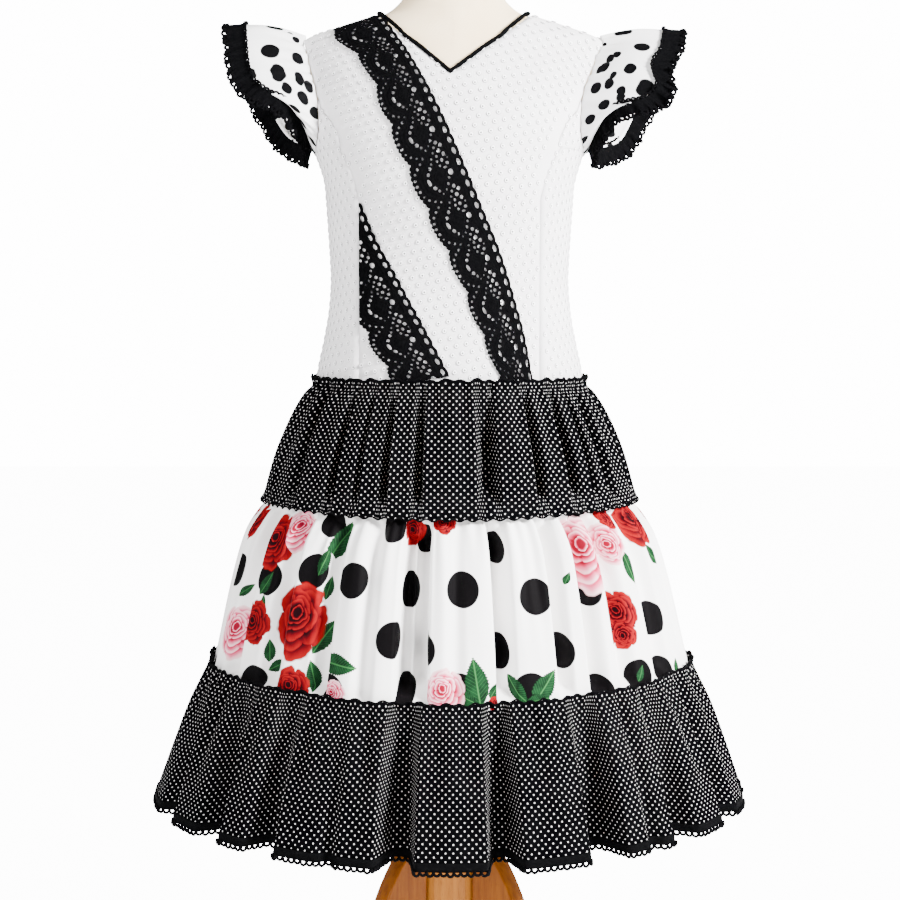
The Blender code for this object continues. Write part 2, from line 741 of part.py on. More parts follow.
def sleeve_point(table, turn, share):
    start = armhole_point(turn)
    end = sleeve_edge_point(table, turn)
    away = Vector((0, start.y, start.z - SLEEVE_MIDDLE)).normalized()
    crown = SLEEVE_CROWN * math.sin(math.pi * min(share, 1.0))
    bunch = SLEEVE_BUNCH * (1 - share) ** 1.5 * 0.5 * (1 - math.cos(SLEEVE_GATHERS * turn))
    ruffle = SLEEVE_RUFFLE * max(share, 0.0) ** 2 * math.sin(SLEEVE_RUFFLES * turn + 1.2)
    reach = min((end - start).length / SLEEVE_FULL, 1.0)
    return blend(start, end, share) + away * ((crown + ruffle) * reach - bunch)


def trim_way(turn):
    # outwards along the top of the arm, and more and more downwards to the underarm
    slope = math.radians(blend(TRIM_LIFT, TRIM_DROP, 0.5 * (1 - math.cos(turn))))
    return Vector((math.cos(slope), -TRIM_FLARE * math.sin(turn), -math.sin(slope))).normalized()


def sleeve_rings(table, side):
    # the flounce's rows from the armhole to its edge, then the trim's two rows
    rings = [[] for row in range(len(SLEEVE_ROWS) + 4)]
    for column in range(SLEEVE_COLUMNS):
        turn = TAU * column / SLEEVE_COLUMNS
        start, edge = sleeve_point(table, turn, 0.0), sleeve_point(table, turn, 1.0)
        run = TRIM_RUN * min((edge - start).length / SLEEVE_FULL, 1.0)
        line = [sleeve_point(table, turn, share) for share in SLEEVE_ROWS]
        for reach in (-run, 0.0, SLEEVE_TRIM_GAP, SLEEVE_TRIM_GAP + SLEEVE_TRIM):
            line.append(edge + trim_way(turn) * reach)
        for ring, point in zip(rings, line):
            ring.append(Vector((side * point.x, point.y, point.z)))
    return rings if side > 0 else [ring[::-1] for ring in rings]


def build_sleeve(word, side, cloth, trim, collection):
    rings = sleeve_rings(SLEEVE_EDGE[word], side)
    cloth_grid("sleeve_" + word, rings[:-2], BODICE_WALL, cloth, collection, closed=True)
    cloth_grid("sleeve_trim_" + word, rings[-2:], TRIM_WALL, trim, collection, closed=True)


# ---------------------------------------------------------------- form and stand

def build_form(material, collection):
    heights = FORM_HEIGHTS
    points = []
    for height in heights:
        for column in range(FORM_COLUMNS):
            angle = TAU * (column + 0.5) / FORM_COLUMNS - math.pi
            points.append(body_point(angle, height, -FORM_INSET))
    faces = grid_faces(len(heights), FORM_COLUMNS, closed=True)
    last = (len(heights) - 1) * FORM_COLUMNS
    faces.append(tuple(reversed(range(FORM_COLUMNS))))
    faces.append(tuple(range(last, last + FORM_COLUMNS)))
    new_object("form_torso", points, faces, material, collection)


def build_neck_cap(material, collection):
    top = BODY[-1]
    bpy.ops.mesh.primitive_cylinder_add(vertices=28, radius=1.0, depth=1.0)
    cap = bpy.context.object
    move_to(cap, "form_neck_cap", collection)
    cap.scale = ((top.half_width + CAP_OVERHANG) * MM, (top.half_depth + CAP_OVERHANG) * MM,
                 CAP_HEIGHT * MM)
    cap.location = Vector((top.lean, top.middle, FORM_TOP + SEAM_GAP + CAP_HEIGHT / 2)) * MM
    apply_scale(cap)
    edge = cap.modifiers.new("rounded rim", "BEVEL")
    edge.width = CAP_BEVEL * MM
    edge.segments = 1
    edge.limit_method = "ANGLE"
    shade_round(cap)
    cap.data.materials.append(material)


def move_to(thing, name, collection):
    thing.name = name
    thing.data.name = name
    for old in list(thing.users_collection):
        old.objects.unlink(thing)
    collection.objects.link(thing)


def apply_scale(thing):
    for vertex in thing.data.vertices:
        vertex.co = Vector(a * b for a, b in zip(vertex.co, thing.scale))
    thing.scale = (1, 1, 1)


def build_pole(material, collection):
    low, high = COLUMN_TOP + SEAM_GAP, FORM_BOTTOM - SEAM_GAP
    bpy.ops.mesh.primitive_cylinder_add(vertices=20, radius=POLE_RADIUS * MM, depth=(high - low) * MM)
    pole = bpy.context.object
    move_to(pole, "form_pole", collection)
    pole.location = (0, 0, (low + high) / 2 * MM)
    shade_round(pole)
    pole.data.materials.append(material)


def build_column(material, collection):
    # a turned post: its profile runs down the outer side, from the axis to the axis
    profile = [(0.0, COLUMN_TOP)]
    for step in range(4):
        turn = QUARTER * step / 3
        radius = COLUMN_RADIUS - COLUMN_RIM * (1 - math.sin(turn))
        profile.append((radius, COLUMN_TOP - COLUMN_RIM * (1 - math.cos(turn))))
    profile.append((COLUMN_RADIUS, COLUMN_BOTTOM + COLUMN_CHAMFER))
    profile.append((COLUMN_RADIUS - COLUMN_CHAMFER, COLUMN_BOTTOM))
    profile.append((0.0, COLUMN_BOTTOM))
    points = [Vector((radius, 0, height)) * MM for radius, height in profile]
    mesh = bpy.data.meshes.new("stand_column")
    mesh.from_pydata(points, [(i, i + 1) for i in range(len(points) - 1)], [])
    mesh.materials.append(material)
    column = bpy.data.objects.new("stand_column", mesh)
    collection.objects.link(column)
    turning = column.modifiers.new("turned", "SCREW")
    turning.steps = 24
    turning.render_steps = 24
    turning.use_merge_vertices = True
    turning.merge_threshold = 0.00001
    turning.use_smooth_shade = True


def build_leg(number, turn, material, collection):
    curve = bpy.data.curves.new("leg outline", "CURVE")
    curve.dimensions = "2D"
    curve.fill_mode = "BOTH"
    curve.extrude = LEG_THICKNESS / 2 * MM
    spline = curve.splines.new("POLY")
    spline.points.add(len(LEG_OUTLINE) - 1)
    for place, point in zip(spline.points, LEG_OUTLINE):
        place.co = (point.radius * MM, point.height * MM, 0, 1)
    spline.use_cyclic_u = True
    curve.materials.append(material)
    leg = bpy.data.objects.new("stand_leg_%d" % number, curve)
    leg.rotation_euler = (QUARTER, 0, math.radians(turn))
    collection.objects.link(leg)


# ---------------------------------------------------------------- zip

def box(name, size, middle, collection):
    bpy.ops.mesh.primitive_cube_add(size=1.0)
    thing = bpy.context.object
    move_to(thing, name, collection)
    thing.scale = [length * MM for length in size]
    thing.location = Vector(middle) * MM
    apply_scale(thing)
    return thing


def rod(name, radius, length, middle, sides, collection):
    bpy.ops.mesh.primitive_cylinder_add(vertices=sides, radius=radius * MM, depth=length * MM)
    thing = bpy.context.object
    move_to(thing, name, collection)
    thing.rotation_euler = (0, QUARTER, 0)
    thing.location = Vector(middle) * MM
    return thing


def join_or_cut(thing, other, operation):
    change = thing.modifiers.new(other.name, "BOOLEAN")
    change.operation = operation
    change.object = other
    other.hide_render = True
    other.display_type = "WIRE"


def zip_frame():
    # the slider's base on the cloth, the way out from it, and how steeply the cloth slopes
    cloth = body_point(math.pi, ZIP_HEIGHT, CLOTH_OUT)
    below = body_point(math.pi, ZIP_HEIGHT - SLOPE_SPAN, CLOTH_OUT)
    slope = math.atan2(below.y - cloth.y, SLOPE_SPAN)
    outward = Vector((0, math.cos(slope), math.sin(slope)))
    base = cloth + outward * SLIDER_GAP
    base.x = 0.0
    return base, outward, slope


def build_zip(material, collection, cutters):
    base, outward, slope = zip_frame()
    pin = base + outward * PIN_REACH
    slider = box("zip_slider", SLIDER_SIZE, base + outward * (SLIDER_SIZE[1] / 2), collection)
    slider.rotation_euler = (slope, 0, 0)
    slider.data.materials.append(material)
    ear_x = PULL_EYE_WIDTH / 2 + PULL_CLEARANCE + EAR_SIZE[0] / 2
    ear_out = outward * (SLIDER_SIZE[1] - EAR_ROOT + EAR_SIZE[1] / 2)
    for side in (-1, 1):
        ear = box("ear", EAR_SIZE, base + ear_out + Vector((side * ear_x, 0, 0)), cutters)
        ear.rotation_euler = (slope, 0, 0)
        join_or_cut(slider, ear, "UNION")
    join_or_cut(slider, rod("pin", PIN_RADIUS, 2 * ear_x, pin, 12, cutters), "UNION")

    tilt = math.radians(PULL_TILT)
    down = Vector((0, math.sin(tilt), -math.cos(tilt)))
    pull = rod("zip_pull", PULL_EYE_RADIUS, PULL_EYE_WIDTH, pin, 16, collection)
    pull.data.materials.append(material)
    for size, start in ((PULL_NECK, PULL_NECK_START), (PULL_SIZE, PULL_START)):
        plate = box("plate", size, pin + down * (start + size[2] / 2), cutters)
        plate.rotation_euler = (tilt, 0, 0)
        join_or_cut(pull, plate, "UNION")
    bore = rod("bore", PIN_RADIUS + PULL_CLEARANCE, 2 * PULL_EYE_WIDTH, pin, 16, cutters)
    join_or_cut(pull, bore, "DIFFERENCE")


# ---------------------------------------------------------------- the whole

def main():
    clear_scene()
    dress = make_collection("flamenco_dress_on_form")
    cutters = make_collection("cutters")
    materials = make_materials()
    eyelet_cotton = materials["white_eyelet_cotton"]

    build_form(materials["cream_jersey"], dress)
    build_neck_cap(materials["lacquered_beech"], dress)
    build_pole(materials["lacquered_beech"], dress)
    build_column(materials["lacquered_beech"], dress)
    for number, turn in enumerate(LEG_TURNS, start=1):
        build_leg(number, turn, materials["lacquered_beech"], dress)

    build_centre_front(eyelet_cotton, dress)
    build_side_front("bodice_side_front_right", -1, eyelet_cotton, dress)
    build_side_front("bodice_side_front_left", 1, eyelet_cotton, dress)
    build_back("bodice_back_right", -1, eyelet_cotton, dress)
    build_back("bodice_back_left", 1, eyelet_cotton, dress)
    build_piping(materials["black_trim"], dress)
    build_lace("lace_long", LONG_LACE, 36, 0.0, materials["black_lace"], dress)
    build_lace("lace_short", SHORT_LACE, 18, 0.35, materials["black_lace"], dress)

    build_sleeve("right", -1, materials["dotted_cotton"], materials["black_trim"], dress)
    build_sleeve("left", 1, materials["dotted_cotton"], materials["black_trim"], dress)

    pin_dots, printed = materials["pin_dot_cotton"], materials["printed_satin_cotton"]
    build_tier("tier_1", TIER_1, ([], TIER_1_FOLDS, []), True, pin_dots, dress)
    build_tier("tier_2", TIER_2, ([], TIER_2_FOLDS, SEAM_2_FOLDS), False, printed, dress)
    build_tier("tier_3", TIER_3, (SEAM_2_FOLDS, [], HEM_FOLDS), True, pin_dots, dress)
    build_hem_trim(materials["black_trim"], dress)
    build_zip(materials["zip_metal"], dress, cutters)


main()
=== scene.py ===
import math
from functools import partial

import bmesh
import bpy
import numpy as np
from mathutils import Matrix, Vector


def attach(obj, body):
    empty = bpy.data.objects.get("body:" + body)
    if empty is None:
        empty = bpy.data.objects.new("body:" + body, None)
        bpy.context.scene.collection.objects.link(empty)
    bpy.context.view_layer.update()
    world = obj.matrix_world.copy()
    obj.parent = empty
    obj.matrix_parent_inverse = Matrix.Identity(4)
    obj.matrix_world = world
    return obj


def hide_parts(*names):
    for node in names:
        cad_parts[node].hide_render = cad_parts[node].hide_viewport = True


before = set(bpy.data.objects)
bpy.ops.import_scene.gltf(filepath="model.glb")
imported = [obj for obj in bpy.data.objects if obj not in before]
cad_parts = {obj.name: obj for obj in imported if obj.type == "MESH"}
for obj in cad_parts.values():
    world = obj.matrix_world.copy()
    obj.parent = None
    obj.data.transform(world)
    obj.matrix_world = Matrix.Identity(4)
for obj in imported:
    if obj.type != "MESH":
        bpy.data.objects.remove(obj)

mm = 0.001
fullTurn = 2 * math.pi
quarter = math.pi / 2
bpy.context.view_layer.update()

camera = {"lens": 72.0, "place": (0.0005, -1.80, 0.79), "tip": 90 - 4.6055}
eye = bpy.data.cameras.new("studioCamera")
eye.lens = camera["lens"]
eyeObject = bpy.data.objects.new("studioCamera", eye)
eyeObject.location = camera["place"]
eyeObject.rotation_euler = (math.radians(camera["tip"]), 0, 0)
bpy.context.scene.collection.objects.link(eyeObject)
bpy.context.scene.camera = eyeObject


# small tools

def signedPower(value, power):
    return np.sign(value) * np.abs(value) ** power


def blend(start, end, share):
    return start + (end - start) * share


def unit(vectors):
    return vectors / np.maximum(np.linalg.norm(vectors, axis=-1, keepdims=True), 1e-9)


def degreesApart(angle, middle):
    return (np.degrees(angle) - middle + 180) % 360 - 180


def readTable(table, place):
    # every column of a table but its first, read smoothly between the rows, with no swing
    rows = np.array(sorted(table), float)
    at = rows[:, 0]
    place = np.clip(np.asarray(place, float), at[0], at[-1])
    i = np.clip(np.searchsorted(at, place, side="left") - 1, 0, len(at) - 2)
    width = at[i + 1] - at[i]
    t = (place - at[i]) / width
    columns = []
    for values in rows[:, 1:].T:
        steps = np.diff(values) / np.diff(at)
        slopes = np.concatenate([steps[:1], np.zeros(len(steps) - 1), steps[-1:]])
        same = steps[:-1] * steps[1:] > 0
        slopes[1:-1][same] = (2 * steps[:-1] * steps[1:])[same] / (steps[:-1] + steps[1:])[same]
        start = (1 + 2 * t) * (1 - t) ** 2 * values[i] + t * (1 - t) ** 2 * width * slopes[i]
        end = t * t * (3 - 2 * t) * values[i + 1] + t * t * (t - 1) * width * slopes[i + 1]
        columns.append(start + end)
    return columns


def along(points, closed=False):
    # the running length of a line of points, with the way back to its start if it is closed
    if closed:
        points = np.concatenate([points, points[:1]])
    steps = np.linalg.norm(np.diff(points, axis=0), axis=1)
    return np.concatenate([[0.0], np.cumsum(steps)])


def acrossRows(points):
    # the running length along each row of a grid
    steps = np.linalg.norm(np.diff(points, axis=1), axis=2)
    return np.concatenate([np.zeros((len(points), 1)), np.cumsum(steps, 1)], 1)


def lineAt(places, run, line):
    return np.stack([np.interp(places, run, line[:, k]) for k in range(3)], -1)


def turns(count, start=0.0):
    # evenly spaced angles round a ring
    return (np.arange(count) + start) * fullTurn / count


def grid(across, down):
    return np.stack(np.broadcast_arrays(across, down), -1)


def gridFaces(rows, columns, aroundRows=False, aroundColumns=False, flip=False):
    # rows run upwards and columns to the right, seen from outside
    r, c = np.meshgrid(range(rows if aroundRows else rows - 1),
                       range(columns if aroundColumns else columns - 1), indexing="ij")
    up, after = (r + 1) % rows, (c + 1) % columns
    faces = np.stack([r * columns + c, r * columns + after, up * columns + after, up * columns + c], -1)
    faces = faces.reshape(-1, 4)
    return faces[:, ::-1] if flip else faces


def cornerPlaces(uv):
    # the flat place at each corner of each face of a grid. a closed grid's uv has one more column
    return np.stack([uv[:-1, :-1], uv[:-1, 1:], uv[1:, 1:], uv[1:, :-1]], 2).reshape(-1, 2)


def makePiece(name, points, faces, materials, slotName, uv=None, faceMaterials=None, node=None):
    # points in mm. faces: rows of point numbers. uv: one pair for each corner of each face, in mm
    mesh = bpy.data.meshes.new(name)
    mesh.from_pydata((np.asarray(points).reshape(-1, 3) * mm).tolist(), [],
                     faces.tolist() if hasattr(faces, "tolist") else faces)
    if uv is not None:
        mesh.uv_layers.new(name="cloth").data.foreach_set("uv", np.asarray(uv, float).ravel())
    for material in materials if isinstance(materials, list) else [materials]:
        mesh.materials.append(material)
    if faceMaterials is not None:
        mesh.polygons.foreach_set("material_index", np.asarray(faceMaterials, np.int32))
    mesh.shade_smooth()
    piece = bpy.data.objects.new(name, mesh)
    bpy.context.scene.collection.objects.link(piece)
    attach(piece, "dress")
    if node:
        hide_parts(node)
    return piece


def addWall(piece, wall, rimOnly=False):
    shell = piece.modifiers.new("clothThickness", "SOLIDIFY")
    shell.thickness = wall * mm
    shell.offset = -1.0
    shell.use_even_offset = False
    shell.use_rim_only = rimOnly
    return piece


def clothPiece(name, points, uv, material, slotName, wall, node=None, closed=False):
    # a grid of points, as rows by columns, with its place on the flat cloth for each of them
    faces = gridFaces(*points.shape[:2], aroundColumns=closed)
    return addWall(makePiece(name, points, faces, material, slotName, cornerPlaces(uv), node=node), wall)


def tube(path, radius, sides, upward, closed=False):
    # points and faces of a round cord along a path. upward: a way off the path
    path = np.asarray(path, float)
    ahead = np.roll(path, -1, 0) - np.roll(path, 1, 0) if closed else np.gradient(path, axis=0)
    side = unit(np.cross(unit(ahead), upward))
    up = np.cross(side, unit(ahead))
    turn = turns(sides)
    ring = side[:, None] * np.cos(turn)[:, None] + up[:, None] * np.sin(turn)[:, None]
    points = path[:, None] + ring * np.reshape(radius, (-1, 1, 1))
    return points.reshape(-1, 3), gridFaces(len(path), sides, closed, True, flip=True)


def joined(parts):
    # several (points, faces) as one
    points, faces, first = [], [], 0
    for somePoints, someFaces in parts:
        points.append(somePoints)
        faces.extend((np.asarray(someFaces) + first).tolist())
        first += len(somePoints)
    return np.concatenate(points), faces


picotLook = {"arc": np.linspace(-0.25, math.pi + 0.25, 9), "width": 0.47, "uneven": 0.12, "sides": 5}


def picots(path, down, pitch, reach, thread):
    # a row of small thread loops that hang off a closed edge. down: a way for each of its points
    look, run = picotLook, along(path, closed=True)
    line = np.concatenate([path, path[:1]])
    count = round(run[-1] / pitch)
    places = (np.arange(count) + 0.5) * run[-1] / count
    at = lineAt(places, run, line)
    ahead = unit(lineAt((places + 0.6) % run[-1], run, line) - at)
    ways = unit(lineAt(places, run, np.concatenate([down, down[:1]])))
    parts = []
    for i in range(count):
        size = 1 + look["uneven"] * math.sin(2.3 * i)  # crocheted loops are never all alike
        loop = at[i] + ahead[i] * np.cos(look["arc"])[:, None] * pitch * look["width"]
        loop = loop + ways[i] * (np.sin(look["arc"])[:, None] * (reach - thread) * size)
        parts.append(tube(loop, thread, look["sides"], np.cross(ahead[i], ways[i])))
    return joined(parts)


# materials

def paint(hexText):
    # an sRGB hex colour as linear light
    parts = [int(hexText[i:i + 2], 16) / 255 for i in (0, 2, 4)]
    return tuple(p / 12.92 if p <= 0.04045 else ((p + 0.055) / 1.055) ** 2.4 for p in parts) + (1.0,)


def plug(node, links):
    # sets or links inputs. text is a hex colour, and a node stands for its first output
    for place, value in (links if isinstance(links, dict) else dict(enumerate(links))).items():
        if isinstance(value, str):
            value = paint(value)
        if isinstance(value, bpy.types.Node):
            value = next(socket for socket in value.outputs if socket.enabled)
        if isinstance(value, bpy.types.NodeSocket):
            node.id_data.links.new(value, node.inputs[place])
        else:
            node.inputs[place].default_value = value
    return node


def addNode(tree, kind, links=(), **settings):
    # one node with its settings and links. a second word of its kind is its operation or data type
    kind, *way = kind.split()
    made = tree.nodes.new("ShaderNode" + kind)
    if way:
        settings["data_type" if kind == "Mix" else "operation"] = way[0]
    for name, value in settings.items():
        setattr(made, name, value)
    return plug(made, links)


def newMaterial(name, look):
    material = bpy.data.materials.new(name)
    material.use_nodes = True
    shader = plug(material.node_tree.nodes["Principled BSDF"], look)
    return material, partial(addNode, material.node_tree), shader


def newCloth(name, look):
    # loose fibres scatter most of the gloss that a solid face would have, so specular is low
    material, add, shader = newMaterial(name, {"Specular IOR Level": 0.15, "Sheen Roughness": 0.5, **look})
    return material, add, shader, add("UVMap", uv_map="cloth")


def patchy(add, vector, scale, low=0.0, high=1.0):
    # a slow drift between two values, for the slight unevenness of a real surface
    noise = add("TexNoise", {"Vector": vector, "Scale": scale, "Detail": 3.0})
    return add("MapRange", [noise, 0.3, 0.7, low, high])


def driftingPaint(add, vector, scale, one, other):
    return add("Mix RGBA", {0: patchy(add, vector, scale), 6: one, 7: other})


def wavering(add, spot, scale, detail, reach):
    # the place moved by a slow noise, so that what is drawn there isn't quite regular
    noise = add("TexNoise", {"Vector": spot, "Scale": scale, "Detail": detail})
    off = add("VectorMath SUBTRACT", [noise.outputs["Color"], (0.5, 0.5, 0.5)])
    return add("VectorMath ADD", [spot, add("VectorMath SCALE", {0: off, "Scale": reach})])


def weaveBump(add, shader, flat, thread, depth, extra=None):
    # warp and weft as two crossing waves of the given thread spacing, in mm
    apart = add("SeparateXYZ", [flat])
    waves = [add("Math SINE", [add("Math MULTIPLY", [apart.outputs[axis], fullTurn / thread])])
             for axis in (0, 1)]
    height = add("Math MULTIPLY", waves)
    if extra is not None:
        height = add("Math ADD", [height, extra])
    plug(shader, {"Normal": add("Bump", {"Strength": 1.0, "Distance": depth * mm, "Height": height})})


def repeated(add, spot, shift, half):
    # the place moved, then wrapped into a box of the given half size round 0
    moved = add("VectorMath ADD", [spot, shift])
    return add("VectorMath WRAP", [moved, half, tuple(-h for h in half)])


def dotMask(add, flat, halfAcross, halfDown, radius, soft):
    # a staggered lattice of round dots: two plain lattices, half a step apart
    spot = wavering(add, flat, 0.35, 1.0, 0.35)
    far = []
    for shift in ((0, 0, 0), (halfAcross, halfDown, 0)):
        own = repeated(add, spot, shift, (halfAcross, halfDown, 1.0))
        far.append(add("VectorMath LENGTH", [add("VectorMath MULTIPLY", [own, (1, 1, 0)])]))
    return add("MapRange", [add("Math MINIMUM", far), radius + soft, radius - soft, 0.0, 1.0])


def nearestOf(add, flat, rows, repeat):
    # each row: across, down, size, and a tilt in degrees and a kind where they aren't 0. gives
    # the nearest one's own coordinates, where its edge is 1 from its middle, its kind and its distance
    best = None
    for across, down, size, tilt, tint in ((*row, 0, 0)[:5] for row in rows):
        own = repeated(add, flat, (-across, -down, 0), (repeat / 2, 500, 1))
        spot = add("Mapping", {0: own, "Rotation": (0, 0, -math.radians(tilt)),
                               "Scale": (1 / size, 1 / size, 0)})
        away = add("VectorMath LENGTH", [spot])
        if best is None:
            best, least, kind = spot, away, tint
            continue
        nearer = add("Math LESS_THAN", [away, least])
        best = add("Mix VECTOR", {0: nearer, 4: best, 5: spot})
        kind = add("Mix", {0: nearer, 2: kind, 3: tint})
        least = add("Math MINIMUM", [away, least])
    return best, kind, least


def dotsOf(add, flat, rows, repeat, soft):
    # where any of the round dots is
    return add("MapRange", [nearestOf(add, flat, rows, repeat)[2], 1 + soft, 1 - soft, 0.0, 1.0])


def makeEyeletCotton():
    # cotton batiste, woven and washed: dead matt, soft and bright, with a fine even weave
    material, add, shader, flat = newCloth("whiteCottonBatiste", {"Roughness": 0.92})
    plug(shader, {"Base Color": driftingPaint(add, flat, 0.02, "dad7d9", "e4e2e3")})
    slow = patchy(add, flat, 0.045, 0.0, 2.2)  # soft handling marks, a few cm across
    weaveBump(add, shader, flat, 1.3, 0.10, slow)  # threads are 0.3 mm, drawn coarser to show
    return material


def makeEmbroidery():
    # mercerised cotton thread, satin stitched round each hole: whiter and a little shiny
    look = {"Base Color": "fbfafb", "Roughness": 0.6, "Sheen Weight": 0.1}
    return newCloth("satinStitchCotton", look)[0]


def makePaintedRingShade():
    # painted shade: the batiste pulled in round each ring, coloured grey for the shade that the stitches cast
    # on it
    return newCloth("paintedShadeRoundEyelets", {"Base Color": "a5a2a4", "Roughness": 0.95})[0]


def makeEyeletHole():
    # the shade inside an open eyelet, with the cream form behind it
    return newCloth("eyeletShade", {"Base Color": "454142", "Roughness": 1.0})[0]


def makeLaceThread(name, rib):
    # polyester cord, machine stitched and washed out of its backing: dense, dull and ribbed
    material, add, shader, flat = newCloth(name, {"Roughness": 0.7, "Specular IOR Level": 0.015})
    plug(shader, {"Base Color": driftingPaint(add, flat, 0.25, "030304", "070708")})
    noise = add("TexNoise", {"Vector": flat, "Scale": 1.1, "Detail": 2.0})
    weaveBump(add, shader, flat, rib, 0.22, noise)
    return material


def makePinDots():
    # printed cotton poplin: matt black with crisp white pin dots, 1.3 mm wide and 5 mm apart
    look = {"Roughness": 0.9, "Specular IOR Level": 0.0}
    material, add, shader, flat = newCloth("pinDotCottonPoplin", look)
    dots = dotMask(add, flat, 3.5, 3.55, 0.63, 0.24)
    black = driftingPaint(add, flat, 0.03, "020203", "050506")
    plug(shader, {"Base Color": add("Mix RGBA", {0: dots, 6: black, 7: "cfcdcc"})})
    weaveBump(add, shader, flat, 1.2, 0.13, patchy(add, flat, 0.12, 0.0, 3.0))
    return material


sleeveSpots = {  # front dots: across, down and half width. back dots: the across of each column
    "right": {"round": 426.7, "bare": (329, 40), "front": [
        (64, 40, 10.4), (9, 32, 8.6), (26, 8, 4), (73, 12, 6.5), (89, 38, 8), (102, 32, 5.6), (92, 16, 5.4),
        (96, 7, 5), (107, 16, 6.2), (118, 4, 6.4), (89, 68, 8), (327, 53, 6.5), (125, 28, 6.5), (14, 16, 3)],
        "back": (148, 164, 181, 197, 213, 230, 246, 263, 279, 295, 312, 329, 345, 362, 378, 395)},
    "left": {"round": 433.1, "bare": (317, 57), "front": [
        (11, 23, 9), (49, 44, 8.6), (68, 23, 4.4), (73, 17, 4.4), (81, 14, 5), (84, 9, 3.4), (83, 42, 6.4),
        (90, 27, 3.4), (97, 25, 5), (100, 12, 5.6), (104, 39, 4.8), (110, 39, 4.6), (101, 62, 9.2),
        (118, 25, 6.2), (132, 11, 6.2), (157, 2, 6.4), (33, 2, 2.4), (329, 66, 4.2)],
        "back": (183, 200, 217, 233, 250, 267, 283, 300, 317, 333, 350, 367, 383, 400)},
}


def makeSleeveDots(name, spots):
    # printed cotton satin: smooth, softly shiny white with black dots, 15 mm where it lies flat
    material, add, shader, flat = newCloth(name, {"Roughness": 0.6, "Specular IOR Level": 0.02})
    back = [(across, down) for number, across in enumerate(spots["back"])
            for down in ((6, 40) if number % 2 else (23, 57))]  # even and staggered, with one bare place
    rows = spots["front"] + [(*place, 7.6) for place in back if place != spots["bare"]]
    dots = dotsOf(add, flat, rows, spots["round"], 0.05)
    white = driftingPaint(add, flat, 0.03, "dfdedf", "e8e7e7")
    plug(shader, {"Base Color": add("Mix RGBA", {0: dots, 6: white, 7: "050506"})})
    weaveBump(add, shader, flat, 1.2, 0.06)
    return material


def makeJersey():
    # cotton jersey stretched over the form: cream, matt, with fine knitted wales
    material, add, shader, flat = newCloth("creamCottonJersey", {"Roughness": 0.9, "Sheen Weight": 0.3})
    plug(shader, {"Base Color": driftingPaint(add, flat, 0.02, "ecd3aa", "f3ddb8")})
    weaveBump(add, shader, flat, 1.6, 0.12)  # wales are 0.7 mm apart, drawn coarser to show
    return material


def makeBeech(name, light, dark):
    # beech, planed, stained warm and lacquered: a soft gloss over a fine straight grain
    material, add, shader = newMaterial(name, {
        "Roughness": 0.32, "Specular IOR Level": 0.08, "Coat Weight": 0.03, "Coat Roughness": 0.12})
    place = add("TexCoord").outputs["Object"]
    long = add("Mapping", {0: place, "Scale": (90, 90, 7)})
    grain = add("TexNoise", {"Vector": long, "Scale": 2.0, "Detail": 6.0, "Roughness": 0.6})
    flecks = add("Mapping", {0: place, "Scale": (900, 900, 130)})
    fleck = add("TexNoise", {"Vector": flecks, "Scale": 1.0, "Detail": 2.0})
    tone = add("Mix RGBA", {0: add("MapRange", [grain, 0.35, 0.68, 0.0, 1.0]), 6: light, 7: dark})
    tone = add("Mix RGBA", {0: add("MapRange", [fleck, 0.6, 0.72, 0.0, 0.35]), 6: tone, 7: "4a260b"})
    bump = add("Bump", {"Strength": 0.25, "Distance": 0.0003, "Height": grain})
    plug(shader, {"Base Color": tone, "Normal": bump})
    return material


def makeZipMetal():
    # zinc alloy, cast and nickel plated: a soft bright metal with faint tumbling marks
    material, add, shader = newMaterial("nickelPlatedZinc", {"Metallic": 1.0, "Base Color": "c9c7c2"})
    noise = add("TexNoise", {"Vector": add("TexCoord").outputs["Object"], "Scale": 900.0, "Detail": 3.0})
    plug(shader, {"Roughness": add("MapRange", [noise, 0.3, 0.7, 0.24, 0.4]),
                  "Normal": add("Bump", {"Strength": 0.2, "Distance": 0.0002, "Height": noise})})
    return material


